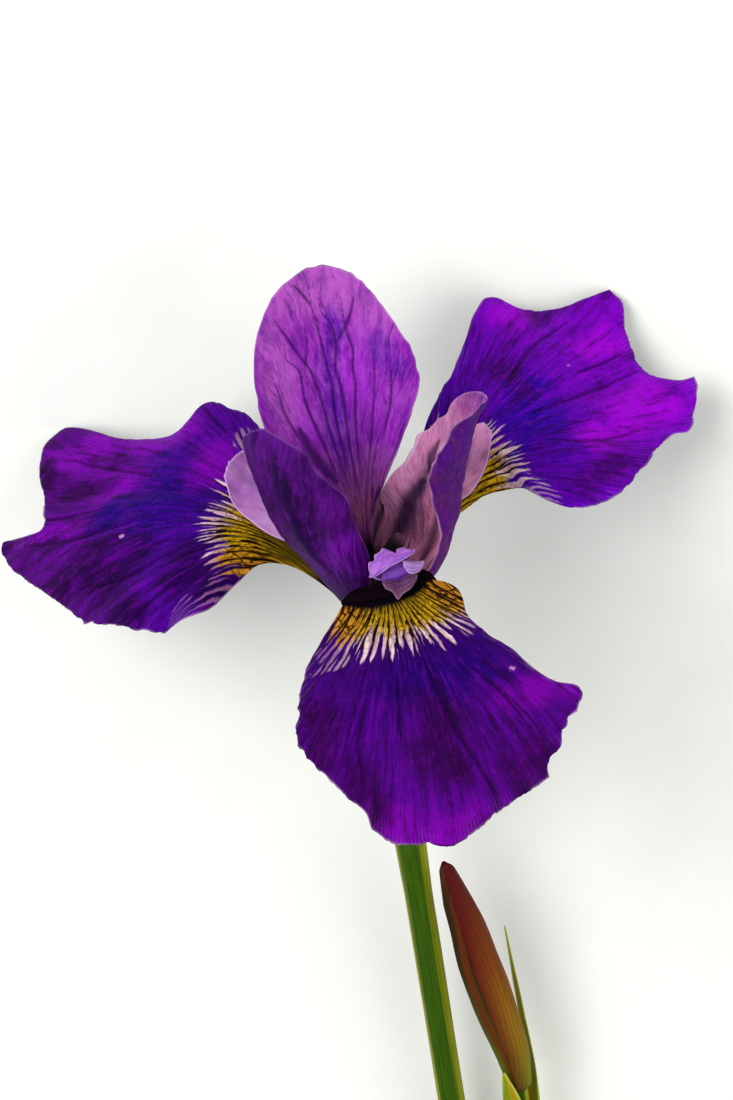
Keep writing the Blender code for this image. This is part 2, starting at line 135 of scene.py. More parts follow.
def layTints(add, colour, layers):
    # each layer's tint goes over the colour by its share
    for share, tint in layers:
        colour = add("mix", share, colour, tint)
    return colour


def mottle(add, colour, layers):
    # tints that come in where a noise passes from start to stop
    for noise, start, stop, share, tint in layers:
        colour = add("mix", add("map", noise, start, stop, 0.0, share), colour, tint)
    return colour


def veinGap(add, vein, reach, look, forks, scatter, opening):
    # the distance in mm to the nearest vein and three random numbers of that vein, which forks
    # further out: each fork is (its random number, earliest reach, width it opens to)
    index = add("round", vein)
    luck = add("split", add("chance", add("add", index, float(look["seed"])))).node.outputs
    gap = add("absolute", add("subtract", vein, index))
    for number, start, wide in forks:
        gone = add("multiply_add", luck[number], -scatter, add("subtract", reach, start))
        parted = add("soften", gone, 0.0, opening, 0.0, wide)
        gap = add("absolute", add("subtract", gap, parted))
    return add("multiply", add("multiply", reach, radians(look["veinStep"])), gap), luck


def travel(points):
    # the distance travelled at each of a line's points
    return np.r_[0.0, np.cumsum(np.linalg.norm(np.diff(points, axis=0), axis=1))]


def smoothCurve(points, at):
    # places on a smooth curve through points, at fractions 0..1 of its length
    p = np.asarray(points, float)
    knot = travel(p)
    slope = np.gradient(p, knot, axis=0)
    where = np.clip(np.asarray(at, float), 0.0, 1.0) * knot[-1]
    i = np.clip(np.searchsorted(knot, where, side="right") - 1, 0, len(knot) - 2)
    h = (knot[i + 1] - knot[i])[..., None]
    x = (where[..., None] - knot[i][..., None]) / h
    return ((2 * x**3 - 3 * x**2 + 1) * p[i] + (x**3 - 2 * x**2 + x) * h * slope[i]
            + (3 * x**2 - 2 * x**3) * p[i + 1] + (x**3 - x**2) * h * slope[i + 1])


def wander(x, y, seed):
    # a smooth random field of -1..1, with about one bump in each unit
    table = np.random.default_rng(seed).uniform(-1, 1, (64, 64))
    x, y = np.broadcast_arrays(np.asarray(x, float), np.asarray(y, float))
    i, j = np.floor(x).astype(int), np.floor(y).astype(int)
    u, v = x - i, y - j
    u, v = u * u * (3 - 2 * u), v * v * (3 - 2 * v)
    i, j = i % 63, j % 63
    low = table[i, j] * (1 - u) + table[i + 1, j] * u
    high = table[i, j + 1] * (1 - u) + table[i + 1, j + 1] * u
    return low * (1 - v) + high * v


def ease(value, start, end):
    x = np.clip((value - start) / (end - start), 0, 1)
    return x * x * (3 - 2 * x)


class Leaf:
    # a flat petal, folded about its midrib and laid along a spine (out, up). left, right and tip are its
    # outline's points (side, length, lift if any); the sides run from the claw's foot to the tip's corners

    def __init__(self, shape):
        rims = {key: [(*point, 0)[:3] for point in shape[key]] for key in ("left", "tip", "right")}
        self.shape = {**shape, **rims}
        self.line = smoothCurve(shape["spine"], np.linspace(0, 1, 401))
        self.reach = travel(self.line)

    def flat(self, across, along):
        left, right = (smoothCurve(self.shape[k], along) for k in ("left", "right"))
        tip = smoothCurve(self.shape["tip"], across)
        corners = [np.asarray(self.shape["tip"][k], float) for k in (0, -1)]
        u, v = across[..., None], along[..., None]
        rung = left + (right - left) * u
        bulge = tip - (corners[0] + (corners[1] - corners[0]) * u)
        place = rung + bulge * v**4
        nearLeft = np.clip(1 - 2 * across, 0, 1)**1.5
        nearRight = np.clip(2 * across - 1, 0, 1)**1.5
        lift = left[..., 2] * nearLeft + right[..., 2] * nearRight
        lift = lift + (tip[..., 2] - lift) * along**8
        return place[..., 0], place[..., 1], lift

    def edge(self, side, length):
        # distance from each flat place to the petal's margin
        rim = np.concatenate([smoothCurve(self.shape["left"], np.linspace(0, 1, 120))[:, :2],
                              smoothCurve(self.shape["tip"], np.linspace(0, 1, 80))[:, :2],
                              smoothCurve(self.shape["right"], np.linspace(1, 0, 120))[:, :2]])
        start, step = rim[:-1], np.diff(rim, axis=0)
        keep = (step**2).sum(1) > 1e-9
        start, step = start[keep], step[keep]
        near = np.full(side.shape, 1e9)
        for (x, y), (dx, dy) in zip(start, step):
            t = np.clip(((side - x) * dx + (length - y) * dy) / (dx * dx + dy * dy), 0, 1)
            near = np.minimum(near, (side - x - t * dx)**2 + (length - y - t * dy)**2)
        return np.sqrt(near)

    def place(self, side, length, lift):
        total, step = self.reach[-1], 0.75
        out, up = (np.interp(length, self.reach, self.line[:, k]) for k in (0, 1))
        ahead = [np.interp(np.clip(length + step, 0, total), self.reach, self.line[:, k]) for k in (0, 1)]
        behind = [np.interp(np.clip(length - step, 0, total), self.reach, self.line[:, k]) for k in (0, 1)]
        end = self.line[-1] - self.line[-8]
        end = end / np.linalg.norm(end)
        past = np.clip(length - total, 0, None)
        tangentOut = np.where(past > 0, end[0], ahead[0] - behind[0])
        tangentUp = np.where(past > 0, end[1], ahead[1] - behind[1])
        size = np.hypot(tangentOut, tangentUp)
        tangentOut, tangentUp = tangentOut / size, tangentUp / size
        out, up = out + past * end[0], up + past * end[1]
        turn = np.radians(np.interp(length, *np.transpose(self.shape["twist"])))
        fold = np.interp(length, *np.transpose(self.shape["fold"]))
        fold = np.where(np.abs(fold) < 1e-5, 1e-5, fold)
        crease = np.clip(side, -self.shape.get("crease", 99), self.shape.get("crease", 99))
        bend = fold * crease
        x = np.sin(bend) / fold + (side - crease) * np.cos(bend) - lift * np.sin(bend)
        y = (1 - np.cos(bend)) / fold + (side - crease) * np.sin(bend) + lift * np.cos(bend)
        across = x * np.cos(turn) - y * np.sin(turn)
        raised = x * np.sin(turn) + y * np.cos(turn)
        out, up = out - raised * tangentUp, up + raised * tangentOut
        a = radians(self.shape["azimuth"])
        return np.stack([out * sin(a) + across * cos(a), -out * cos(a) + across * sin(a), up], -1)


def addToScene(name, data):
    thing = bpy.data.objects.new(name, data)
    bpy.context.scene.collection.objects.link(thing)
    return thing


def meshPiece(name, points, faces, marks, skin, nodes):
    # one smooth piece from points in the flower's frame, with its flat coordinates as attributes
    mesh = bpy.data.meshes.new(name)
    mesh.from_pydata(toWorld(points).tolist(), [], faces)
    for mark, values in marks.items():
        layer = mesh.attributes.new(mark, "FLOAT_VECTOR", "POINT")
        layer.data.foreach_set("vector", np.asarray(values, np.float32).ravel())
    mesh.materials.append(skin)
    mesh.validate()
    mesh.shade_smooth()
    piece = addToScene(name, mesh)
    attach(piece, "root")
    if nodes:
        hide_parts(*nodes)
    return piece


def shell(centre, thickness, marks):
    # a closed thin sheet about a grid of points: two faces that meet in a sharp margin
    rows, columns = centre.shape[:2]
    normal = np.cross(np.gradient(centre, axis=0), np.gradient(centre, axis=1))
    normal /= np.maximum(np.linalg.norm(normal, axis=-1, keepdims=True), 1e-9)
    offset = normal * np.asarray(thickness)[..., None] / 2
    inside = np.zeros((rows, columns), bool)
    inside[1:-1, 1:-1] = True
    upper = np.where(inside[..., None], centre + offset, centre)
    topIndex = np.arange(rows * columns).reshape(rows, columns)
    lowIndex = topIndex.copy()
    lowIndex[inside] = rows * columns + np.arange(inside.sum())
    points = np.vstack([upper.reshape(-1, 3), (centre - offset)[inside]])
    a, b, c, d = topIndex[:-1, :-1], topIndex[1:, :-1], topIndex[1:, 1:], topIndex[:-1, 1:]
    faces = np.stack([a, b, c, d], -1).reshape(-1, 4).tolist()
    a, b, c, d = lowIndex[:-1, :-1], lowIndex[:-1, 1:], lowIndex[1:, 1:], lowIndex[1:, :-1]
    faces += np.stack([a, b, c, d], -1).reshape(-1, 4).tolist()
    packed = {}
    for mark, grid in marks.items():
        grid = np.stack([np.broadcast_to(g, (rows, columns)) for g in grid], -1).astype(float)
        packed[mark] = np.vstack([grid.reshape(-1, 3), grid[inside]])
    # the fan's third number says which face a point is on: 1 inside the flower, 0 outside
    side = np.r_[np.where(inside, 1.0, 0.5).ravel(), np.zeros(inside.sum())]
    packed["fan"][:, 2] = side
    return points, faces, packed


def fanOut(look, side, length):
    # the veins run side by side up the claw and then fan out from its mouth:
    # which vein a place is on, counted from the midrib, and how far out along it
    x = side - look["heart"][0]
    soft = look["soft"]
    opened = soft * np.logaddexp(0, (length - look["heart"][1]) / soft)
    spread = look["mouth"] + opened
    return np.degrees(np.arctan2(x, spread)) / look["veinStep"], np.hypot(x, spread)


fallFold = [(0, 0.20), (12, 0.07), (17, 0.025), (24, 0.0), (70, -0.012)]
falls = {
    "front": dict(
        azimuth=8, fold=fallFold, twist=[(0, 0), (70, 0)],
        spine=[(3.2, 0.6), (8, 7), (14, 12), (20, 14.6), (27, 14.2), (38, 9.5), (47, 2.5), (54, -5)],
        left=[(-1.1, 0), (-3, 7), (-5.2, 13), (-6.9, 18), (-8.4, 20.7, -0.8), (-10.4, 22.5, -1.8),
              (-13.2, 25.5, -3), (-15.9, 30.2, -3), (-17.8, 36.3, -2), (-19.3, 41.4, -1), (-18.5, 44.4, -1),
              (-14.8, 51, -1), (-12.9, 54.6, -0.4), (-12.5, 57)],
        tip=[(-12.5, 57), (-10.8, 59), (-8, 60.4), (-5.2, 60.9), (-2.6, 62), (0, 61.5),
             (3.2, 60), (9.6, 57.6, 0.5), (13.4, 56.3, 1)],
        right=[(1.1, 0), (3, 7), (5.6, 13), (8.2, 17.5), (9.9, 20.4, -1), (10.2, 23.2, -1.3),
               (9.9, 27, -1.4), (11.2, 31.6, -0.8), (13.7, 36, 0.2), (15.7, 40, 1), (18, 43.2, 2),
               (21.2, 45.3, 3.2), (20.4, 47.4, 3), (18.2, 49.4, 2.1), (15.9, 52.9, 1.1), (13.7, 54.8, 1),
               (13.4, 56.3, 1)]),
    "left": dict(
        azimuth=-120, fold=fallFold, twist=[(0, 0), (14, 0), (30, -14), (70, -16)],
        spine=[(3.2, 0.6), (8, 7), (14, 12), (20, 15), (28, 15.8), (40, 13), (52, 8), (60, 4.5)],
        left=[(-1.1, 0), (-2.6, 7), (-4, 13), (-6, 17.5, -1), (-9.5, 20.5, -1.5), (-14, 24, -1.5),
              (-17.8, 27, -1), (-19.7, 31.5), (-20.3, 35.6, 0.8), (-17.2, 40.2, -0.7), (-16, 45, -1.4),
              (-17, 51, -1.4), (-19.5, 57, -0.4), (-22, 64.4, 1.6)],
        tip=[(-22, 64.4, 1.6), (-19, 65.9, 2), (-15, 65.5, 2), (-9, 62.9, 2), (-3, 59.5, 1.8),
             (1.6, 57.6, 0.9),
             (1.5, 61.5), (0.7, 65.5, -0.8), (0.6, 68.3, -1.1), (2.4, 67.8, -1.3)],
        right=[(1.1, 0), (2.8, 7), (4.6, 12.5, -0.3), (6.8, 15.6, -1.2), (11, 16.8, -3.4),
               (17.3, 18, -4.9),
               (22.4, 21.8, -4), (23.8, 29, -1.5), (22.7, 39, -1), (20.6, 44, -1), (17.3, 49.3, -1),
               (13.3, 54.7, -1), (9.5, 60, -1), (4.6, 66.2, -1.2), (2.4, 67.8, -1.3)]),
    "right": dict(
        azimuth=126, fold=fallFold, twist=[(0, 0), (14, 0), (30, 22), (70, 25)],
        spine=[(3.2, 0.6), (8, 7), (14, 12), (20, 15.5), (28, 17.5), (40, 17), (52, 15), (60, 14)],
        left=[(-1.1, 0), (-2.6, 7), (-4, 13), (-4.6, 18, -2), (-5.1, 21.2, -2.8), (-7.4, 25, -3),
              (-9, 27.2, -2.9), (-13.8, 28.2, -2), (-17.2, 31.4, -2), (-18.9, 38.5, -1), (-18.2, 44.7, -1),
              (-16.4, 49.8, -1), (-14.5, 54.6, -1), (-14, 57.4, -1), (-14.6, 59.5, -1), (-13.2, 61.8, -0.9),
              (-10.3, 64.9, -0.3), (-7.2, 66.8, -0.1)],
        tip=[(-7.2, 66.8, -0.1), (-6.5, 64.4, -0.5), (-4.5, 62.6, -0.8), (-0.6, 61.7, -1), (2.2, 62.1, -0.6),
             (5, 62.8), (8.6, 65.3, 1.2), (12, 65.5, 1.6)],
        right=[(1.1, 0), (2.6, 7), (4, 13), (6.3, 19.5, -0.5), (9.4, 26, -1), (12.2, 33, -1),
               (16, 39.2, -0.1), (19.6, 44.2, 1.2), (20.9, 47.3, 1.9), (20, 49.8, 1.8), (18.2, 51.2, 0.9),
               (16.3, 54, -0.2), (14.4, 58.2, -0.9), (12.7, 61, 0.1), (12.2, 63.5, 0.9), (12, 65.5, 1.6)]),
}
standards = {
    "back": dict(
        azimuth=177, fold=[(0, 0.25), (15, 0.08), (50, 0.03)], twist=[(0, 0), (54, 4)],
        spine=[(3.0, 0.6), (3.8, 8), (5.5, 20), (8.5, 32), (12, 44), (15, 54)],
        left=[(-0.9, 0), (-1.3, 7), (-2, 13), (-4.8, 19.2), (-8.4, 25.2), (-11.4, 30.4),
              (-12.9, 34.6), (-12.6, 38.4), (-10.6, 43.3, 0.4), (-7.6, 47.7, 0.5)],
        tip=[(-7.6, 47.7, 0.5), (-6.2, 49.8, 0.2), (-3.9, 51.9), (-0.8, 53.2), (2.6, 53),
             (5.6, 51.8, 0.3), (7.8, 50.2, 0.4)],
        right=[(0.9, 0), (1.3, 7), (2, 13), (4.8, 18.5), (9, 24.5), (12.2, 29.3),
               (12.9, 33), (12.9, 38), (12.4, 41.6), (10.6, 46.4, 0.4), (7.8, 50.2, 0.4)]),
    "left": dict(
        azimuth=-58, fold=[(0, 0.25), (8, 0.17), (25, 0.12), (40, 0.10), (50, 0.08)], twist=[(0, 0), (47, 0)],
        spine=[(3.0, 0.6), (5.5, 6), (8.5, 12.3), (11.8, 19), (14.4, 28.5), (15.2, 37), (14.4, 43)],
        left=[(-0.9, 0), (-2.2, 5), (-3, 10), (-4.3, 16), (-8, 23.7), (-9.8, 29),
              (-9.4, 32.5), (-6.4, 37)],
        tip=[(-6.4, 37), (-3, 40.6), (1.8, 43.6), (5.6, 42.8), (9, 40.6)],
        right=[(0.9, 0), (5.2, 6), (7.8, 9.5), (10, 13.6), (12, 22.8), (12.7, 29.4),
               (11.3, 33.3), (9.9, 36.8), (9, 40.6)]),
    "right": dict(
        azimuth=61, twist=[(0, 0), (50, 0)], crease=6,
        fold=[(0, 0.25), (8, 0.22), (20, 0.24), (40, 0.16), (50, 0.10)],
        spine=[(3.0, 0.6), (7.6, 5), (12.2, 10.4), (15.6, 17.8), (18.7, 28), (21.5, 36), (24.5, 43.5)],
        left=[(-0.9, 0), (-2.2, 5), (-3.4, 11), (-2.6, 17.2), (-2.7, 20.5), (-4.2, 25),
              (-5.6, 29), (-6.8, 34), (-6.7, 37), (-6, 40.4), (-5.8, 44.2)],
        tip=[(-5.8, 44.2), (-3.4, 46.8), (-1, 47.8), (2.5, 46), (6.8, 42.6)],
        right=[(0.9, 0), (7.5, 1.2), (12.4, 3), (15, 6.4), (16, 11), (15.6, 17.4),
               (14.8, 22),
               (13.9, 26), (13.9, 29.2), (12.4, 31), (11.2, 34), (9.8, 36), (9.4, 38.5),
               (8.3, 41), (6.8, 42.6)]),
}
armFold = [(0, 0.10), (6, -0.02), (12, -0.075), (18, -0.07), (23, -0.02), (30, 0.02)]

arms = {
    "front": dict(
        azimuth=17, fold=armFold, twist=[(0, 0), (30, 0)],
        spine=[(1.9, 5.6), (4.2, 10), (8, 13.2), (11, 14.6), (13.4, 15.2), (15, 15.8)],
        left=[(-0.8, 0), (-1.7, 5), (-2.2, 9), (-2.6, 12.5), (-2.6, 14.5), (-2, 16)],
        tip=[(-2, 16), (0, 16.6), (2, 16)],
        right=[(0.8, 0), (1.7, 5), (2.4, 9), (3, 12.5), (3, 14.5), (2, 16)]),
    "left": dict(
        azimuth=-118, fold=armFold, twist=[(0, 0), (30, 0)],
        spine=[(1.9, 5.6), (4.2, 10), (9, 15), (14, 18.4), (18.5, 20.5), (21.5, 23.5)],
        left=[(-0.8, 0), (-1.8, 5), (-2.8, 10), (-5, 14.5), (-7.4, 18.5), (-8.8, 22, 0.2),
              (-8.2, 24.9, 0.5)],
        tip=[(-8.2, 24.9, 0.5), (-6, 25.9, 0.6), (-3.4, 26.6, 0.9), (-1.1, 26.8, 0.9), (1.1, 26.3, 0.8),
             (2.4, 25.2, 0.8)],
        right=[(0.8, 0), (1.8, 5), (3.6, 10), (4.8, 13.5), (5.2, 16), (5, 18.5),
               (4.5, 21.2), (3.8, 23.2, 0.3), (2.4, 25.2, 0.8)]),
    "right": dict(
        azimuth=124, fold=armFold, twist=[(0, 0), (30, 0)],
        spine=[(1.9, 5.6), (4.7, 8.9), (9.5, 13.2), (15, 16.5), (20, 18.6), (23.5, 21.6)],
        left=[(-0.8, 0), (-1.8, 5), (-3, 10), (-5.4, 14.5), (-6.6, 18), (-6.4, 22, 0.1),
              (-5.8, 25.8, 0.6), (-5.2, 27.4, 0.9)],
        tip=[(-5.2, 27.4, 0.9), (-3, 28.2, 1.2), (-1, 27.2, 0.9), (1, 28, 1.2), (3, 27.1, 1)],
        right=[(0.8, 0), (1.8, 5), (2.6, 10), (4, 14.5), (4.8, 20), (4.4, 24.6, 0.4),
               (3, 27.1, 1)]),
}

def blots(side, length, places, seed):
    # soft patches of 0..1 with wandering edges; each place is (side, length, half width, half height)
    far = [np.hypot((side - x) / wide, (length - y) / tall) for x, y, wide, tall in places]
    far = np.min(far, axis=0) + 0.35 * wander(side / 2.5 + 30, length / 4 + 30, seed)
    return 1 - ease(far, 0.3, 1.3)


def drawn(side, length, lines):
    # soft lines of 0..1 through points (side, length), each with a width that dies away at its ends
    mark = np.zeros_like(side)
    for wide, points in lines:
        at = np.linspace(0, 1, 12 * len(points))
        for (x, y), w in zip(smoothCurve(points, at), wide * np.clip(np.sin(pi * at), 0.15, 1)**0.5):
            mark = np.maximum(mark, np.exp(-((side - x)**2 + (length - y)**2) / w**2))
    return mark


# each petal's patches of colour (partly its own uneven tone, partly painted highlight and painted shade), its
# creases painted dark as shade and its dark heart of painted shade, in mm on the flat petal
fallVeins = {"soft": 2.2, "veinStep": 6.0, "pleat": 0.7, "ruffle": 0.9}
noBlush = [(90, 0, 1, 1)]
# the first wash of each fall is its own bluish tone, the second partly its own magenta and partly painted
# highlight, the third painted shade
fallLooks = {
    "front": dict(
        fallVeins, heart=(1.0, 22.5), mouth=3.2, seed=11, yellowEnd=9.6, rayEnd=12.0, lean=0.0,
        blade=("#240258", "#3c0270", "#4c027c", "#500280"),
        spot=(13.0, 39.7, 0.4), dark=(21.0, 23.0, 0.12),
        washes=[("#210263", [(6, 37, 8, 6), (-2, 37, 6, 4)]),
                ("#74029a", [(-2, 61, 6, 4.5), (-9, 58, 3, 4), (15, 44, 6, 3)]),
                ("#28022f", [(-16, 42, 3.5, 10), (12, 55, 7, 5), (6, 60.4, 8, 1.5), (-12, 52, 4, 6),
                             (0, 48, 5, 8)])],
        blush=[(-9, 27, 4, 3.2), (-11, 30, 4, 1.5), (9, 30, 1.6, 3)],
        creases=[(0.5, [(1, 33), (2, 39), (2.5, 45), (4.4, 52), (6, 58)]),
                 (0.4, [(-3, 36), (-4, 41), (-5, 45)]),
                 (0.35, [(2, 38), (3, 45), (3.5, 52)]), (0.4, [(8, 38), (11, 44), (13, 49)]),
                 (0.35, [(-8, 38), (-11, 44), (-12, 50)])]),
    "left": dict(
        fallVeins, heart=(0.5, 17.6), mouth=3.0, seed=23, yellowEnd=9.0, rayEnd=11.8, lean=-0.1,
        blade=("#2c0278", "#460288", "#50027c", "#4c0270"),
        spot=(6.4, 40.6, 0.3), dark=(6.0, 10.0, 0.0),
        washes=[("#230275", [(-2, 36, 10, 7), (2, 45, 5, 4)]),
                ("#7c02aa", [(-15, 56, 5, 8), (2.7, 54, 2, 9), (-14, 42, 5, 8), (-9, 30, 6, 5),
                             (-6, 48, 4, 6)]),
                ("#160022", [(13, 42, 8, 12), (14, 54, 5, 8), (21, 33, 4, 5), (-9, 62.5, 5, 2.4),
                             (13, 25, 6, 8), (14, 18, 6, 6), (-6, 54, 3, 7)])],
        blush=[(14, 18.5, 8, 2.6), (-15, 28, 3, 1.8), (20, 22, 3, 2.5)],
        creases=[(0.6, [(4, 40), (5, 48), (4.6, 55), (3, 62)]), (0.45, [(-6, 40), (-9, 48), (-13, 58)]),
                 (0.4, [(10, 30), (14, 38), (14, 47)]), (0.4, [(0, 44), (0.2, 52), (0.4, 59)])]),
    "right": dict(
        fallVeins, heart=(-1.0, 21.5), mouth=3.0, seed=37, yellowEnd=9.0, rayEnd=11.6, lean=-0.04,
        blade=("#34038a", "#5a02a8", "#7002b4", "#7402b4"),
        spot=(3.8, 49.4, 0.2), dark=(6.0, 10.0, 0.0),
        washes=[("#2a03a0", [(-2, 37, 7, 6), (4, 40, 4, 5)]),
                ("#a004d0", [(-8, 55, 6, 9), (16, 48.5, 5, 4), (5, 56, 4, 5), (-10, 45, 4, 4)]),
                ("#3a0354", [(-15, 42, 3, 8), (6, 40, 5, 3), (15, 54, 3, 5)])],
        blush=[(-12, 28.5, 5, 2.6), (-7, 29, 3, 2)],
        creases=[(0.45, [(-1.5, 60), (-1.6, 52), (-1.4, 45), (-1, 38)]), (0.4, [(2, 50), (2.1, 55), (2, 59)]),
                 (0.45, [(5, 38), (9, 46), (11, 56)]), (0.4, [(-6, 36), (-10, 44), (-11, 54)])]),
}
fallGrid = {"columns": 140, "rows": 180, "thickness": 0.34, "clawThickness": 0.7}
# the crease tint is painted shade in the folds, and the heart tint is painted shade on the claw down in the
# flower
fallTints = {"yellow": "#c9a010", "orange": "#cd8a24", "brown": "#7d560a", "clawEdge": "#c8a21c",
             "claw": "#6d5c0c", "ray": "#e2c6c8", "rayShade": "#b88898", "rayEnd": "#9c6494",
             "net": "#1a0904", "dab": "#1a0234", "fleck": "#9a34cc", "vein": "#170230",
             "crease": "#16021f", "margin": "#b98abc", "scar": "#b878b8", "heart": "#0e0710",
             "underClaw": "#75701a", "under": "#44206a", "underVein": "#22083c"}


def fallSkin(name, look):
    # Iris fall: living petal of violet cell sap with a hairless velvety surface of domed cells, so it's
    # deep in colour and nearly without gloss, with a yellow signal netted by dark brown veins
    skin, add, fan, flat, wash, mark = newSkin(name, "fan", "flat", "wash", "mark")
    seed, tint = float(look["seed"]), fallTints
    vein, reach, face = fan
    side, length, edge = flat
    flatAt = add("join", side, length, seed)

    # which vein, wandering twice over by up to half a millimetre, with its own forks further out
    streakAt = add("join", vein, add("multiply", reach, 0.16), seed)
    fibreAt = add("join", vein, add("multiply", reach, 0.035), seed)
    sway = add("noise", streakAt, 0.8, 2.0)
    wobbleAt = add("join", vein, add("multiply", reach, 0.45), seed + 3)
    wobble = add("noise", wobbleAt, 1.6, 1.0)
    for noise, most, least in ((sway, 1.0, 9.0), (wobble, 0.5, 4.0)):
        share = add("minimum", add("divide", least, reach), most)
        noise = add("subtract", noise, 0.5)
        vein = add("multiply_add", noise, share, vein)
    forks = ((0, 4.0, 0.25), (1, 12.0, 0.125), (2, 22.0, 0.0625))
    apart = veinGap(add, vein, reach, look, forks, scatter=9.0, opening=7.0)[0]
    # veins thicken towards the signal's end and thin out over the blade
    width = add("ramp", add("map", reach, 0.0, 40.0),
                stops=[(0.07, "#484848"), (0.2, "#646464"), (0.33, "#727272"), (0.5, "#585858"),
                       (1.0, "#3c3c3c")])
    width = add("multiply", width, add("map", wobble, 0.3, 0.7, 0.4, 1.5))
    line = add("soften", add("subtract", apart, width), -0.07, 0.09, 1.0, 0.0)
    # the net of cross veins between them, and dots down the claw
    netAt = add("join", vein, add("multiply", reach, 0.42), seed)
    net = add("soften", add("cells", netAt, 1.7, 1.0, feature="DISTANCE_TO_EDGE"), 0.04, 0.13, 1.0, 0.0)
    dots = add("soften", add("cells", wobbleAt, 1.9), 0.2, 0.34, 0.85, 0.0)
    turned = add("absolute", fan[0])
    # the shoulders are 34 to 60 degrees off the midrib, and the flanks beyond them end at 80
    shoulderFrom, shoulderTo, flankTo = (angle / look["veinStep"] for angle in (34, 60, 80))
    shoulder = add("soften", turned, shoulderFrom, shoulderTo, 0.0, 1.0)
    net = add("multiply", net, add("map", shoulder, 0.0, 1.0, 0.6, 0.95))
    thin = add("map", reach, look["yellowEnd"], look["yellowEnd"] + 3, 1.0, 0.25)
    ink = add("maximum", line, add("multiply", net, thin))
    near = add("map", reach, 6.0, 10.0, 1.0, 0.0)
    ink = add("maximum", ink, add("multiply", dots, near))

    # the signal: yellow, then pale rays of uneven length between the veins
    interval = add("round", add("multiply", vein, 2.0))
    own = add("split", add("chance", add("add", interval, seed + 0.5))).node.outputs
    leaning = add("multiply_add", fan[0], look["lean"], look["rayEnd"])
    far = add("soften", turned, shoulderTo, flankTo, 0.0, 0.6)
    end = add("add", add("multiply_add", own[0], 2.6, leaning), far)
    left = add("multiply_add", wobble, 1.6, add("subtract", end, reach))
    pinch = add("map", left, 0.0, 2.2, 0.4, 0.1)
    ray = add("soften", add("subtract", apart, pinch), -0.04, 0.2, 0.0, 1.0)
    inSignal = add("soften", left, 2.2, 3.6, 0.0, 1.0)
    ray = add("multiply", ray, add("map", left, 0.0, 0.7, 0.0, 1.0))
    ray = add("maximum", ray, inSignal)
    yellowLeft = add("multiply_add", own[1], 2.4, look["yellowEnd"])
    yellowLeft = add("multiply_add", shoulder, 3.6, add("subtract", yellowLeft, reach))
    yellow = add("soften", yellowLeft, 0.0, 2.2, 0.0, 1.0)
    patch = add("noise", streakAt, 1.8, 4.0)
    warm = add("mix", shoulder, tint["yellow"], tint["orange"])
    warm = add("mix", add("map", patch, 0.45, 0.7, 0.0, 0.7), warm, tint["brown"])
    claw = add("mix", add("map", edge, 0.3, 1.6), tint["clawEdge"], tint["claw"])
    warm = add("mix", add("map", reach, 3.5, 7.0, 0.9, 0.0), warm, claw)
    pale = add("mix", add("map", patch, 0.35, 0.65), tint["ray"], tint["rayShade"])
    pale = add("mix", shoulder, pale, tint["rayEnd"])
    signal = layTints(add, pale, [(yellow, warm), (ink, tint["net"])])

    # the blade: its washes of colour, partly the sap's own uneven tone and partly painted highlight (the rose
    # wash) and painted shade (the dark wash), then streaks and dabs along the veins
    blade = add("ramp", add("map", reach, 10.0, 46.0), stops=list(zip((0.0, 0.35, 0.7, 1.0), look["blade"])))
    washTints = [colour for colour, _ in look["washes"]]
    blade = layTints(add, blade, [(add("multiply", some, share), tone)
                                  for some, share, tone in zip(wash, (1.0, 0.85, 0.75), washTints)])
    streak = add("noise", fibreAt, 3.2, 6.0, 0.7)
    dab = add("noise", streakAt, 3.0, 5.0, 0.7)
    fleck = add("noise", flatAt, 1.1, 4.0, 0.7)
    blade = mottle(add, blade, [(streak, 0.5, 0.34, 0.75, washTints[2]), (streak, 0.53, 0.7, 0.4, washTints[1]),
                                (dab, 0.47, 0.33, 0.5, tint["dab"]), (dab, 0.54, 0.7, 0.4, washTints[1]),
                                (fleck, 0.68, 0.8, 0.35, tint["fleck"])])
    faint = add("map", streak, 0.4, 0.6, 0.35, 0.0)
    # the shoulders' pink white blush, striped by the veins
    blush = add("map", add("multiply_add", fleck, 0.9, mark[2]), 0.85, 1.15, 0.0, 0.6)
    between = add("soften", apart, 0.12, 0.34, 0.0, 1.0)
    # a thin broken pale margin, with short pale dashes running in between the veins
    ragged = add("map", add("noise", flatAt, 0.22, 2.0), 0.42, 0.6, 0.0, 1.0)
    rim = add("soften", edge, 0.05, 0.28, 0.75, 0.0)
    dash = add("map", edge, 0.2, add("multiply_add", own[2], 2.4, 0.4), 0.12, 0.0)
    rim = add("multiply", add("maximum", rim, add("multiply", dash, between)), ragged)
    # one small pale scar
    x, y, size = look["spot"]
    away = add("distance", add("join", side, length), (x, y, 0))
    scar = add("map", add("multiply_add", fleck, 1.8, away), size + 0.7, size + 1.0, 1.0, 0.0)
    # creases painted dark as shade, blush, margin, signal and scar; down in the heart the claw is painted
    # nearly black as shade
    colour = layTints(add, blade, [(add("multiply", line, faint), tint["vein"]),
                                   (add("multiply", mark[0], 0.75), tint["crease"]),
                                   (add("multiply", blush, between), pale), (rim, tint["margin"]),
                                   (ray, signal), (scar, tint["scar"]), (mark[1], tint["heart"])])
    # the underside is duller, with a yellow green claw
    under = add("mix", add("map", reach, 6.0, 16.0), tint["underClaw"], tint["under"])
    under = add("mix", add("multiply", line, 0.6), under, tint["underVein"])
    colour = add("mix", add("map", face, 0.05, 0.45), under, colour)

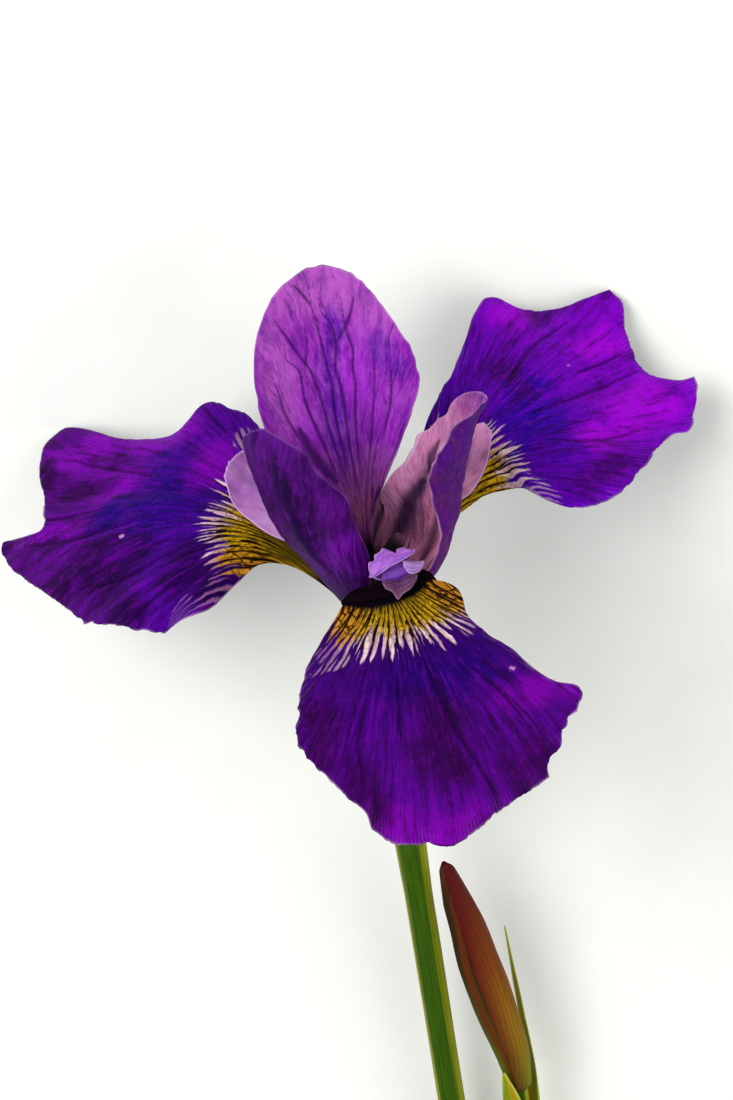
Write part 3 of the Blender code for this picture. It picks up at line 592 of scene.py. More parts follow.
    crinkle = add("noise", add("join", add("multiply", vein, 0.35), reach, seed), 1.1, 3.0, 0.5, 0.8)
    crinkle = add("map", crinkle, 0.42, 0.58, 0.0, 1.0)
    height = fleck
    for relief, share in ((line, -0.6), (crinkle, 0.7), (streak, 1.4)):
        height = add("multiply_add", relief, share, height)
    bump = add("bump", 0.7, 0.00012, height)
    rough = add("map", fleck, 0.2, 0.8, 0.5, 0.66)
    return dress(skin, colour, rough, bump, gloss["fall"])


def growPetal(name, shape, look, grid, relief, skin, node):
    leaf = Leaf(shape)
    across, along = np.meshgrid(np.linspace(0, 1, grid["columns"] + 1), np.linspace(0, 1, grid["rows"] + 1))
    side, length, lift = leaf.flat(across, along)
    edge = leaf.edge(side, length)
    vein, reach = fanOut(look, side, length)
    wash = [blots(side, length, places, look["seed"] + k) for k, (_, places) in enumerate(look["washes"])]
    wash += [0 * side] * (3 - len(wash))
    # the creases are dented and painted dark as shade; the second mark paints the claw nearly black towards
    # the heart: painted shade
    crease = drawn(side, length, look["creases"])
    start, stop, bowl = look["dark"]
    mark = (crease, 1 - ease(length + bowl * side**2, start, stop),
            blots(side, length, look["blush"], look["seed"] + 5))
    moveSide, moveLength, bump = relief(look, side, length, edge, vein, reach)
    points = leaf.place(side + moveSide, length + moveLength, lift + bump - look.get("dent", 0.35) * crease)
    thickness = grid["thickness"] * (0.45 + 0.55 * ease(edge, 0, 1.6))
    inClaw = (1 - ease(length, 6, 18)) * ease(edge, 0, 1.5)
    thickness = thickness + (grid["clawThickness"] - grid["thickness"]) * inClaw
    marks = {"flat": (side, length, edge), "fan": (vein, reach, 0 * reach), "wash": wash, "mark": mark}
    points, faces, marks = shell(points, thickness, marks)
    return meshPiece(name, points, faces, marks, skin, [node])


def fallRelief(look, side, length, edge, vein, reach):
    # folds that radiate from the claw, a ruffled and slightly torn margin, and pillows between the veins
    seed, turn = look["seed"], vein * look["veinStep"]
    fold = look["pleat"] * wander(turn / 8.0 + 30, reach / 38, seed) * ease(reach, 8, 26)
    ruffle = look["ruffle"] * wander(turn / 11.0 + 30, 3.5, seed + 1) * np.clip(1 - edge / 7.0, 0, 1)**2
    ruffle = ruffle * ease(reach, 12, 22)
    pillow = 0.10 * wander(vein + 30, reach / 2.6, seed + 2) * ease(reach, 5, 12)
    rib = 0.05 * np.cos(2 * pi * vein) * ease(reach, 4, 10)
    fray = np.clip(1 - edge / 1.2, 0, 1)**2 * ease(reach, 12, 20)
    bite = 0.35 * wander(turn * 0.55 + 60, 0.5, seed + 3) + 0.12 * wander(turn * 2.2 + 60, 0.5, seed + 4)
    size = np.maximum(np.hypot(side, length - 36), 1)
    return bite * fray * side / size, bite * fray * (length - 36) / size, fold + ruffle + pillow + rib


for key, shape in falls.items():
    skin = fallSkin("irisFallVelvet_" + key, fallLooks[key])
    growPetal("fall_petal_" + key, shape, fallLooks[key], fallGrid, fallRelief, skin,
              "fall_" + key)
print("falls grown")

# the standards
standardLooks = {
    "back": dict(
        heart=(0.4, 14.0), mouth=2.6, soft=5.0, veinStep=5.2, seed=51, crepe=0.10, fold=0.5, tooth=0.25,
        tall=53.0, inside=["#4a2430", "#a05678", "#7a1aa0", "#9226ae", "#a246a8"],
        outside=["#4a3a30", "#3c0c58", "#4c1474", "#5a2080", "#6c3590"], vein="#24034c", veinForce=0.6,
        washes=[("#54109c", [(-7.5, 40, 2.5, 3), (-10, 36.8, 2, 1.8), (1, 30, 2.4, 12), (-1, 44, 1.6, 5)]),
                ("#a850ae", [(0, 50, 8, 4), (9, 38, 3.5, 10), (-7, 46, 3, 3)]),
                ("#a02ac4", [(-6.5, 29, 3.2, 8), (5.5, 26, 3, 8), (-3, 36, 3, 5)])],
        light="#ae58b8", shade="#4c0a78", rim="#b77fc0", outer="#7a3aa4", dent=0.1, onto=1,
        dark=(8.0, 12.5, 0.0),
        # the widest creases are painted shadow in the slots at the base and beside the left standard; the
        # thin ones are veins
        blush=noBlush, creases=[
            (1.2, [(1.0, 9.5), (1.5, 13), (2.5, 17), (3.4, 20)]), (0.7, [(-2, 12), (-2.6, 15), (-4, 18.5)]),
            (1.2, [(6.6, 29.5), (5.6, 26), (3.8, 22.5), (2.4, 20.2)]),
            (0.36, [(0.5, 49.2), (0.7, 46.9), (-0.5, 44.2), (-0.7, 41), (-0.2, 37.8), (-0.5, 34.2),
                    (-0.4, 26), (-0.6, 17)]),
            (0.34, [(1.9, 50.5), (1.9, 47.4), (1.5, 44.6), (1.3, 41.5), (1, 37.8), (0.7, 35), (0.9, 32.4),
                    (0.3, 20)]),
            (0.34, [(-2.5, 48.3), (-2.6, 42.6), (-3.1, 40), (-2.7, 37.8), (-2.6, 34.2), (-2.2, 31.9),
                    (-1.2, 20)]),
            (0.32, [(-5.9, 41), (-5.9, 37.4), (-4.6, 30), (-2.6, 21)]),
            (0.34, [(3.4, 44.6), (3.5, 41), (4, 39.6), (3.4, 37.4), (2.8, 34.6), (2.5, 31.5), (1, 20)]),
            (0.34, [(6.9, 42.8), (6.9, 40.5), (5.5, 38.7), (5.2, 34.2), (3.6, 27), (1.4, 18)]),
            (0.32, [(1.9, 47.4), (3.2, 50), (4.2, 51.4)]), (0.32, [(-0.7, 41), (-3.5, 45.5), (-4.6, 48.6)]),
            (0.32, [(3.4, 37.4), (6.5, 44), (8, 47)]), (0.32, [(-8.5, 38), (-8, 33), (-5.5, 26)]),
            (0.32, [(9.4, 38), (8.6, 33), (5.6, 25)])]),
    "left": dict(
        heart=(1.0, 6.0), mouth=3.0, soft=6.0, veinStep=4.5, seed=67, crepe=0.10, fold=0.5, tooth=0.2,
        tall=45.0, inside=["#4b2240", "#5a1474", "#6a1a8a", "#722490", "#7c3a92"],
        outside=["#2c0440", "#3e0660", "#36054e", "#3a065a", "#501078"], vein="#1c0238", veinForce=0.6,
        # its near black first wash and its one crease are painted shade down the middle of the fold
        washes=[("#16022e", [(4.4, 26, 2.4, 12), (4, 34, 2, 6), (-4, 20, 3, 6)]),
                ("#4c0870", [(9.6, 26, 2.4, 8), (0.5, 38, 3, 4)]), ("#7010a0", [(8, 17, 4, 6)])],
        light="#6a1490", shade="#1a022c", rim="#7c4c94", outer="#6a1490", dent=0.2, onto=0,
        dark=(4.0, 8.5, 0.0), blush=noBlush, creases=[
            (0.7, [(4, 40), (4.2, 32), (4, 24), (3.4, 14)])]),
    "right": dict(
        heart=(2.0, 8.0), mouth=3.0, soft=6.0, veinStep=5.0, seed=83, crepe=0.16, fold=0.5, tooth=0.45,
        tall=45.0, inside=["#b06a84", "#cc7e9c", "#c8789a", "#c070a0", "#6a1090"],
        outside=["#24022e", "#4a0c64", "#4c0e66", "#3e0a60", "#42086c"], vein="#160a2c", veinForce=0.25,
        # its near black and brown washes are painted shadow in the channel and under the rolled flank; the
        # pink one is its own tone
        washes=[("#180c34", [(10.6, 15, 2.1, 10), (10.2, 23, 1.4, 6)]),
                ("#cc86b0", [(12.6, 25, 2.2, 8), (9, 34, 2.6, 5), (13.6, 14, 1.6, 7)]),
                ("#6c3c48", [(8, 14, 1.8, 7)])],
        light="#cc8cc0", shade="#64285e", rim="#cfa4c4", outer="#5c128a", dent=0.3, onto=1,
        # its wide creases are painted shadow in the channel and under the rolled flank
        dark=(1.5, 5.0, 0.0), blush=[(13.8, 28, 0.8, 6)], creases=[
            (1.1, [(9.6, 31), (10, 25)]), (1.9, [(10.2, 23), (10.9, 17), (10.8, 11), (9.8, 6)]),
            (1.1, [(6.4, 20), (5.8, 16), (5.2, 11), (4.4, 7)]),
            (0.8, [(14.6, 10.5), (13.4, 6.5), (11.5, 3.5)])]),
}
standardGrids = {"back": {"columns": 190, "rows": 230, "thickness": 0.30, "clawThickness": 0.6},
                 "left": {"columns": 110, "rows": 140, "thickness": 0.30, "clawThickness": 0.6}}


def standardSkin(name, look):
    # Iris standard: a thinner petal with a crepe surface; light gets between its cells, so it's
    # paler and pinker than a fall and matt, with a few dark forked veins
    skin, add, fan, flat, wash, mark = newSkin(name, "fan", "flat", "wash", "mark")
    seed = float(look["seed"])
    vein, reach, face = fan
    side, length, edge = flat
    flatAt = add("join", side, length, seed)
    streakAt = add("join", vein, add("multiply", length, 0.14), seed)
    sway = add("noise", streakAt, 1.1, 3.0)
    vein = add("multiply_add", sway, 1.5, vein)
    forks = ((0, 10.0, 0.25), (1, 20.0, 0.125))
    apart, luck = veinGap(add, vein, reach, look, forks, scatter=14.0, opening=8.0)
    line = add("soften", apart, 0.04, 0.2, 1.0, 0.0)
    # the finer veins come and go along their length, each with its own strength
    broken = add("map", add("noise", streakAt, 2.3, 2.0), 0.42, 0.62, 0.1, 1.0)
    force = add("map", luck[2], 0.3, 0.9, 0.15, look["veinForce"])
    ink = add("multiply", line, add("multiply", broken, force))
    # the drawn creases: the thin ones are main veins, the wide ones painted shadow
    main = add("soften", mark[0], 0.05, 1.0, 0.0, 0.8)
    ink = add("maximum", ink, main)

    # each face's tones darken towards the base: painted shade down in the heart of the flower
    height = add("map", length, 0.0, look["tall"])
    tones = [add("ramp", height, stops=list(zip((0.12, 0.28, 0.5, 0.78, 1.0), look[key])))
             for key in ("outside", "inside")]
    inner = add("map", face, 0.05, 0.45)
    colour = add("mix", inner, *tones)
    turnedTo = add("map", face, 0.05, 0.45, 0.8 - 0.8 * look["onto"], 0.8 * look["onto"])
    colour = layTints(add, colour, [(add("multiply", some, turnedTo), tint)
                                    for some, (tint, _) in zip(wash, look["washes"])])
    fibreAt = add("join", vein, add("multiply", reach, 0.05), seed)
    streak = add("noise", fibreAt, 3.4, 5.0, 0.65)
    cell = add("noise", streakAt, 4.5, 4.0, 0.7)
    soft = add("noise", flatAt, 0.2, 3.0)
    light = add("mix", inner, look["outer"], look["light"])
    low = add("map", length, 12.0, 26.0, 0.9, 0.45)
    shade = look["shade"]
    colour = mottle(add, colour, [(soft, 0.5, 0.68, 0.25, light), (soft, 0.5, 0.34, 0.25, shade),
                                  (cell, 0.52, 0.7, 0.4, light), (cell, 0.48, 0.32, 0.45, shade),
                                  (streak, 0.52, 0.68, 0.4, light), (streak, 0.5, 0.36, low, shade)])
    blush = add("map", add("multiply_add", cell, 0.9, mark[2]), 0.85, 1.2, 0.0, 0.7)
    rim = add("soften", edge, 0.05, 0.4, 0.6, 0.0)
    rim = add("multiply", rim, add("map", soft, 0.4, 0.6, 0.3, 1.0))
    # veins (the widest creases are painted shadow) and margin, and the claw painted nearly black as shade
    # where it runs down into the heart of the flower
    colour = layTints(add, colour, [(ink, look["vein"]), (blush, look["rim"]), (rim, look["rim"]),
                                    (mark[1], "#120811")])
    bump = add("bump", 0.7, 0.00014, add("multiply_add", ink, -0.6, cell))
    rough = add("map", cell, 0.2, 0.8, 0.52, 0.68)
    return dress(skin, colour, rough, bump, gloss["standard"])


def standardRelief(look, side, length, edge, vein, reach):
    seed, turn = look["seed"], vein * look["veinStep"]
    tall = ease(length, 10, 24)
    fold = look["fold"] * wander(turn / 7.0 + 30, length / 30, seed) * tall
    ruffle = 0.6 * wander(length / 6.0 + np.sign(side) * 9 + 30, 2.5, seed + 1) * np.clip(1 - edge / 5, 0,
                                                                                          1)**2 * tall
    crepe = look["crepe"] * wander(side / 0.9 + 30, length / 1.3, seed + 2) * tall
    crepe = crepe + 2 * look["crepe"] * wander(side / 2.4 + 30, length / 3.5, seed + 4) * tall
    rib = 0.05 * np.cos(2 * pi * vein) * ease(length, 6, 14)
    fray = np.clip(1 - edge / 1.2, 0, 1)**2 * ease(length, 18, 30)
    bite = look["tooth"] * wander(length / 1.5 + side / 1.1 + 60, 0.5, seed + 3)
    size = np.maximum(np.hypot(side, length - 30), 1)
    return bite * fray * side / size, bite * fray * (length - 30) / size, fold + ruffle + crepe + rib


for key, shape in standards.items():
    look = standardLooks[key]
    skin = standardSkin("irisStandardCrepe_" + key, look)
    growPetal("standard_petal_" + key, shape, look, standardGrids.get(key, standardGrids["left"]),
              standardRelief,
              skin, "standard_" + key)
print("standards grown")

# the style arms: lilac arches, each ending in a toothed crest; the front one has a stigma lip under it
armVeins = {"heart": (0.0, 8.0), "mouth": 2.5, "soft": 5.0, "veinStep": 7.0}
armLooks = {
    "front": dict(
        armVeins, seed=101, tones=["#1c0f18", "#3c2038", "#54296a", "#6a35a0"],
        light="#a86ac8", shade="#3a1660", rim="#b486cc", dark=(9.0, 14.0, 0.0), blush=[(0, 30, 1, 1)],
        washes=[("#54257c", [(0, 15, 2, 4)])], creases=[(0.3, [(0, 8), (0, 14), (0, 20)])]),
    "left": dict(
        armVeins, seed=108, tones=["#3a2238", "#8a5480", "#ac70ae", "#ae68be"],
        light="#c892cc", shade="#8a4a9c", rim="#cfa4da", dark=(5.0, 9.0, 0.0), blush=[(3.5, 15, 1.6, 5)],
        washes=[("#9a62b8", [(-1, 17, 2.5, 6)]), ("#b26a92", [(3, 12, 2, 5)])],
        creases=[(0.35, [(-0.6, 9), (-1, 15), (-1.6, 21)])]),
    "right": dict(
        armVeins, seed=115, tones=["#7a4458", "#cc7c9c", "#e094b4", "#dc8cc0"],
        light="#c48ab8", shade="#7c3a78", rim="#c898cc", dark=(5.0, 9.0, 0.0), blush=[(3, 20, 1.2, 5)],
        washes=[("#8a4a9a", [(-2, 18, 2, 6)])], creases=[(0.3, [(0, 9), (0, 16), (0, 23)])]),
}
armGrid = {"columns": 70, "rows": 90, "thickness": 0.42, "clawThickness": 0.9}


def armSkin(name, look):
    # Iris style arm: a firm, smooth, pale petal-like arch over watery tissue, so it's satin and lilac,
    # with a soft bluish midline and faint lengthwise lines
    skin, add, fan, flat, wash, mark = newSkin(name, "fan", "flat", "wash", "mark")
    side, length, edge = flat
    flatAt = add("join", side, length, float(look["seed"]))
    lineAt = add("join", fan[0], add("multiply", length, 0.12), float(look["seed"]))
    # the tones darken towards the base, to near black on the front arm: painted shade under the arches
    tone = add("ramp", add("map", length, 4.0, 26.0), stops=list(zip((0.0, 0.3, 0.65, 1.0), look["tones"])))
    tone = layTints(add, tone, [(some, tint) for some, (tint, _) in zip(wash, look["washes"])])
    cloud = add("noise", flatAt, 0.35, 4.0)
    streak = add("noise", lineAt, 3.0, 4.0)
    light, shade, rim = look["light"], look["shade"], look["rim"]
    tone = mottle(add, tone, [(cloud, 0.5, 0.68, 0.6, light), (cloud, 0.5, 0.34, 0.4, shade),
                              (streak, 0.5, 0.68, 0.4, shade), (streak, 0.46, 0.32, 0.4, light)])
    # midline, blush and rim, then near black towards the base where shade falls under the arch: painted shade
    tone = layTints(add, tone, [(add("multiply", mark[0], 0.6), shade), (add("multiply", mark[2], 0.5), rim),
                                (add("soften", edge, 0.05, 0.4, 0.6, 0.0), rim), (mark[1], "#140a12")])
    bump = add("bump", 0.5, 0.0001, add("multiply_add", streak, 1.5, cloud))
    rough = add("map", cloud, 0.3, 0.7, 0.4, 0.55)
    return dress(skin, tone, rough, bump, look.get("shine", gloss["arm"]))


def armRelief(look, side, length, edge, vein, reach):
    ridge = 0.35 * np.exp(-(side / 0.9)**2) * ease(length, 4, 10)
    ruffle = 0.3 * wander(length / 2.2 + np.sign(side) * 7 + 30, 0.5, look["seed"]) * np.clip(1 - edge / 2,
                                                                                              0, 1)**2
    ruffle = ruffle * ease(length, look["crest"] - 6, look["crest"])
    tooth = np.clip(1 - edge / 1.0, 0, 1)**2 * ease(length, look["crest"] - 3, look["crest"])
    bite = look.get("tooth", 0.12) * tooth * wander(side / 0.7 + 60, length / 0.9, look["seed"] + 1)
    return 0.4 * bite * np.sign(side), bite, ridge + ruffle


lilac = {}
for key, shape in arms.items():
    look = {**armLooks[key], "crest": shape["tip"][0][1]}
    lilac[key] = armSkin("irisStyleArm_" + key, look)
    growPetal("style_arm_crest_" + key, shape, look, armGrid, armRelief, lilac[key],
              "style_arm_" + key)

# the front arm's end, which is turned to the light: a toothed lobe on the left and a pale strip on the right
# over a violet web, the pointed stigma lip below, and a near black sheet of painted shade across the mouth
# under the arm; each from its upper and its lower margin, (x, y, z)
crestLobes = {
    "lobe": dict(
        top=[(0.2, -13.8, 16.1), (0.3, -13.2, 17.7), (1.6, -12.4, 18.9), (2.9, -11.6, 19.2),
             (4.4, -11.4, 18.6), (6.0, -10.9, 18.6), (7.5, -10.9, 17.7)],
        low=[(0.9, -14.6, 16.6), (1.7, -14.8, 17.1), (2.6, -14.8, 17.6), (3.6, -14.3, 17.8),
             (4.4, -13.8, 17.7), (5.9, -12.7, 17.6), (7.2, -11.4, 17.4)],
        tones=["#7a3ea6", "#9350b6", "#9c58be", "#a060c4"], light="#c088dc", shade="#6a2fa0", rim="#c79ad6",
        tooth=0.55, swell=0.5, seed=131),
    "strip": dict(
        top=[(5.4, -12.9, 17.4), (6.2, -12.9, 17.3), (7.1, -12.7, 16.8), (8.5, -11.9, 16.1)],
        low=[(5.4, -14.1, 17.3), (6.0, -15.2, 16.7), (7.4, -14.4, 16.0), (8.3, -12.6, 15.9)],
        tones=["#7a46a0", "#9a6cb8", "#a87cbc", "#8a58a8"], light="#c4a2d2", shade="#5c2c88", rim="#c4a4d4",
        tooth=0.1, swell=0.35, seed=137),
    "web": dict(
        top=[(2.2, -12.6, 17.0), (4.0, -12.2, 17.6), (6.2, -11.8, 17.2)],
        low=[(1.9, -14.0, 15.0), (4.2, -13.8, 14.6), (6.6, -13.2, 15.2)],
        tones=["#54248a", "#6a2fa0", "#5c2892", "#44206a"], light="#8a50b8", shade="#2e1250", rim="#7a48a4",
        tooth=0.05, swell=0.3, seed=139),
    "lip": dict(
        top=[(1.9, -14.9, 15.5), (3.1, -14.2, 15.5), (4.4, -14.5, 15.1), (5.6, -14.2, 15.6),
             (6.6, -14.1, 15.7), (7.2, -13.8, 15.2)],
        low=[(2.2, -16.0, 15.3), (3.2, -17.2, 15.2), (3.8, -18.3, 14.6), (4.6, -17.6, 14.9),
             (5.8, -16.8, 15.0), (6.9, -15.0, 15.1)],
        tones=["#4c2846", "#643a5e", "#5c3456", "#4c2a44"], light="#865a82", shade="#381a36", rim="#98708e",
        tooth=0.08, swell=0.25, seed=149),
    # a near black sheet across the mouth between the claw and the arm: painted shade, not a part of the
    # flower
    "shadeSheet": dict(
        top=[(-4.5, -13.4, 12.3), (-3.3, -12.6, 13.1), (-1.7, -12.4, 13.7), (0.4, -12.3, 13.7),
             (2.7, -12.1, 14.9), (4.9, -11.8, 15.5), (7.5, -12, 15.1), (9.2, -12.2, 13.9), (10.1, -13, 12.5)],
        low=[(-4.3, -13.9, 11.9), (-2.5, -15.1, 11.6), (0, -15.9, 11.3), (3, -16.2, 10.8),
             (6.4, -16.1, 11), (9.5, -14.3, 11.5)],
        tones=["#0b060a", "#100810", "#120810", "#0c060b"], light="#180c14", shade="#080408", rim="#120810",
        tooth=0.0, swell=-0.4, shine=0.0, seed=151),
}


def growLobe(name, look, skin, node):
    # a sheet between two margins that swells towards the front, with a toothed upper margin
    across, down = np.meshgrid(np.linspace(0, 1, 91), np.linspace(0, 1, 37))
    top, low = (smoothCurve(look[key], across) for key in ("top", "low"))
    drop = low - top
    depth = np.linalg.norm(drop, axis=-1)
    wide = travel(smoothCurve(look["top"], np.linspace(0, 1, 60)))[-1]
    tooth = look["tooth"] * (wander(across * wide / 0.75 + 40, 0.5, look["seed"]) - 0.3)
    tooth = tooth * (1 - ease(down, 0, 0.5))
    forward = np.array([0.1, -0.8, 0.6])
    dimple = 0.12 * wander(across * wide / 1.1 + 30, down * 1.5, look["seed"] + 1)
    swell = look["swell"] * np.sin(pi * down) + dimple
    points = top + drop * down[..., None] - drop / np.maximum(depth, 0.3)[..., None] * tooth[..., None]
    points = points + forward * swell[..., None]
    side, length = (across - 0.5) * wide, down * depth
    edge = np.minimum(np.minimum(length, depth - length), wide / 2 - np.abs(side))
    nothing = 0 * side
    marks = {"flat": (side, 4 + 22 * (1 - down), edge), "fan": (side / 0.55, length, nothing),
             "wash": (nothing, nothing, nothing), "mark": (nothing, nothing, nothing)}
    points, faces, marks = shell(points, 0.12 + 0.2 * ease(edge, 0, 0.7), marks)
    return meshPiece(name, points, faces, marks, skin, [node])


for key, look in crestLobes.items():
    look["washes"] = []
    growLobe("style_crest_" + key, look, armSkin("irisStyleCrest_" + key, look),
             "style_arm_front")
print("style arms grown")

# stem, tube, ovary and stamens
plant = {"stemRadius": 2.1, "stemLength": 138.0, "drift": 0.015, "ovaryTop": 5.4, "ovaryBottom": 19.0,
         "spatheBase": 41.0, "bendStart": 24.0, "bendLength": 34.0, "bend": radians(15)}


def stemPoint(down):
    bent = np.clip((down - plant["bendStart"]) / plant["bendLength"], 0.0, 1.0)
    radius = plant["bendLength"] / plant["bend"]
    lean = plant["bend"] * bent
    past = max(down - plant["bendStart"] - plant["bendLength"], 0.0)
    centre = np.array([-plant["drift"] * down,
                       -radius * (1 - cos(lean)) - past * sin(plant["bend"]),
                       -min(down, plant["bendStart"]) - radius * sin(lean) - past * cos(plant["bend"])])
    return centre, np.array([0.0, -cos(lean), sin(lean)])


def besideStem(side, down, forward):
    centre, front = stemPoint(down)
    return centre + np.array([side + plant["drift"] * down, 0, 0]) + front * forward


def frames(centres):
    # the directions to the front and across at each place along a line
    ahead = np.gradient(centres, axis=0)
    ahead /= np.linalg.norm(ahead, axis=1, keepdims=True)
    front = np.cross(ahead, (1.0, 0, 0))
    front /= np.linalg.norm(front, axis=1, keepdims=True)
    return front, np.cross(front, ahead)


def growTube(name, centres, radius, skin, nodes, sides=48):
    # radius is a function of (angle, fraction along) giving mm; both ends are closed
    centres = np.asarray(centres, float)
    count = len(centres)
    s = np.linspace(0, 1, count)
    front, across = frames(centres)
    angle = np.linspace(0, 2 * pi, sides, endpoint=False)
    r = radius(angle[None, :], s[:, None])
    ring = centres[:, None] + r[..., None] * (across[:, None] * np.cos(angle)[None, :, None]
                                              + front[:, None] * np.sin(angle)[None, :, None])
    travelled = travel(centres)
    index = np.arange(count * sides).reshape(count, sides)
    a, b = index[:-1], np.roll(index[:-1], -1, 1)
    c, d = np.roll(index[1:], -1, 1), index[1:]
    faces = np.stack([a, b, c, d], -1).reshape(-1, 4).tolist()
    points = [ring.reshape(-1, 3)]
    marks = [np.stack([np.broadcast_to(angle, (count, sides)),
                       np.broadcast_to(travelled[:, None], (count, sides)),
                       np.broadcast_to(1.0, (count, sides))], -1).reshape(-1, 3)]
    total = count * sides
    for row, flip in ((0, True), (count - 1, False)):
        # each end is capped with rings of its own, so a cut face can show its pith
        rim = index[row]
        for share in (0.85, 0.45, 0.0):
            here = centres[row] + (ring[row] - centres[row]) * share
            mark = np.stack([angle, np.full(sides, travelled[row]), np.full(sides, share)], -1)
            if share == 0.0:
                here, mark = here[:1], mark[:1]
            points.append(here)
            marks.append(mark)
            inner = np.arange(total, total + len(here))
            total += len(here)
            for k in range(sides):
                n = (k + 1) % sides
                face = [rim[k], rim[n], inner[n], inner[k]] if share else [rim[k], rim[n], inner[0]]
                faces.append([int(v) for v in (face[::-1] if flip else face)])
            rim = inner
    marks = {"flat": np.vstack(marks)}
    return meshPiece(name, np.vstack(points), faces, marks, skin, nodes)


def stemSkin(name, look):
    # Iris stem: smooth living green tissue with a thin wax bloom over fine lengthwise fibres, so it's
    # semi gloss; its yellow green flanks are painted edge light, so it looks darker at the front; the cut end
    # shows pale pith
    skin, add, flat = newSkin(name, "flat")
    angle, travelled, cap = flat
    x, y = add("cosine", angle), add("sine", angle)
    fibreAt = add("join", *(add("multiply", v, k) for v, k in ((x, 9.0), (y, 9.0), (travelled, 0.05))))
    fibre = add("noise", fibreAt, 1.0, 4.0, 0.6)
    blotchAt = add("join", x, y, add("multiply", travelled, 0.12))
    blotch = add("noise", blotchAt, 1.2, 3.0)
    # the lighter flanks on both sides are painted edge light
    litFlanks = [add("soften", add("multiply_add", fibre, 0.5, x), start, stop, 0.0, share)
              for start, stop, share in ((0.55, 1.1, 0.9), (-0.5, -0.72, 0.75))]
    colour = add("mix", add("map", fibre, 0.35, 0.65), look["dark"], look["mid"])
    pithDots = add("cells", add("join", add("multiply", x, cap), add("multiply", y, cap)), 7.0)
    flesh = add("mix", add("map", pithDots, 0.1, 0.4), "#8fa04a", "#c9d19a")
    colour = layTints(add, colour, [(add("maximum", *litFlanks), look["litFlank"]),
                                    (add("map", blotch, 0.5, 0.75, 0.0, 0.5), look["blotch"]),
                                    (add("map", cap, 0.97, 0.8, 0.0, 1.0), flesh)])
    bump = add("bump", 0.5, 0.00012, fibre)
    rough = add("map", blotch, 0.3, 0.7, 0.36, 0.55)
    return dress(skin, colour, rough, bump, gloss["leaf"])


stemGreen = stemSkin("irisStemWax", dict(dark="#203c02", mid="#345403", litFlank="#8e9010", blotch="#3d5c04"))
tubeViolet = stemSkin("irisTubeSkin", dict(dark="#3d2a55", mid="#5a3f7a", litFlank="#6f7a35", blotch="#4a3a60"))
ovaryGreen = stemSkin("irisOvarySkin", dict(dark="#35560c", mid="#4f7716", litFlank="#7f9a2c", blotch="#6b8a20"))


def ribbed(width, ribs, deep):
    # a radius that follows a list of (fraction, mm), with shallow lengthwise ribs
    def radius(angle, s):
        r = np.interp(s, [w[0] for w in width], [w[1] for w in width])
        return r * (1 + deep * np.cos(ribs * angle))
    return radius


stemRows = 260
stemFrom = plant["ovaryBottom"] + 0.35
stemAt = np.linspace(stemFrom, plant["stemLength"], stemRows)
stemWide = [(19, 0.86), (30, 0.92), (43, 1.15), (52, 1.04), (80, 1.0), (110, 1.02), (114, 1.12),
            (116.5, 1.22),
            (119, 1.08), (123, 1.03), (138, 1.05)]


def stemRadius(angle, s):
    down = stemFrom + s * (plant["stemLength"] - stemFrom)
    r = plant["stemRadius"] * np.interp(down, [w[0] for w in stemWide], [w[1] for w in stemWide])
    ribs = 0.012 * np.cos(14 * angle) + 0.01 * wander(angle * 3, down / 9, 7)
    return r * (1 + ribs)


growTube("stem_stalk", [stemPoint(d)[0] for d in stemAt], stemRadius, stemGreen, ["stem"], 84)
ovaryAt = np.linspace(plant["ovaryTop"], plant["ovaryBottom"], 60)
ovaryWide = list(zip(np.linspace(0, 1, 8), [2.4, 2.9, 3.2, 3.3, 3.2, 2.9, 2.5, 2.1]))
growTube("ovary_capsule", [stemPoint(d)[0] for d in ovaryAt],
         lambda angle, s: ribbed(ovaryWide, 3, 0.07)(angle, s) * (1 - 0.02 * np.abs(np.sin(3 * angle))),
         ovaryGreen, ["ovary"], 72)
tubeWide = [(0, 2.4), (0.3, 2.5), (0.7, 3.1), (0.94, 3.9), (1, 4.0)]
growTube("perianth_throat", [(0, 0, z) for z in np.linspace(-5, 0, 30)], ribbed(tubeWide, 6, 0.03),
         tubeViolet,
         ["perianth_tube"], 72)
growTube("style_stalk", [(0, 0, z) for z in np.linspace(0.35, 5.05, 24)],
         ribbed([(0, 1.45), (0.5, 1.3), (1, 1.6)], 3, 0.05), lilac["front"],
         ["style_column"], 36)


def pollenSkin():
    # Iris anther: a cream ribbon packed with dry pollen, so it's matt and grainy
    skin, add = newSkin("irisAntherPollen")
    grain = add("noise", add("place"), 2600.0, 3.0)
    colour = add("mix", add("map", grain, 0.35, 0.65), "#cfc08a", "#efe6c0")
    rough = add("map", grain, 0.3, 0.7, 0.7, 0.95)
    return dress(skin, colour, rough, add("bump", 0.8, 0.0002, grain), gloss["pollen"])


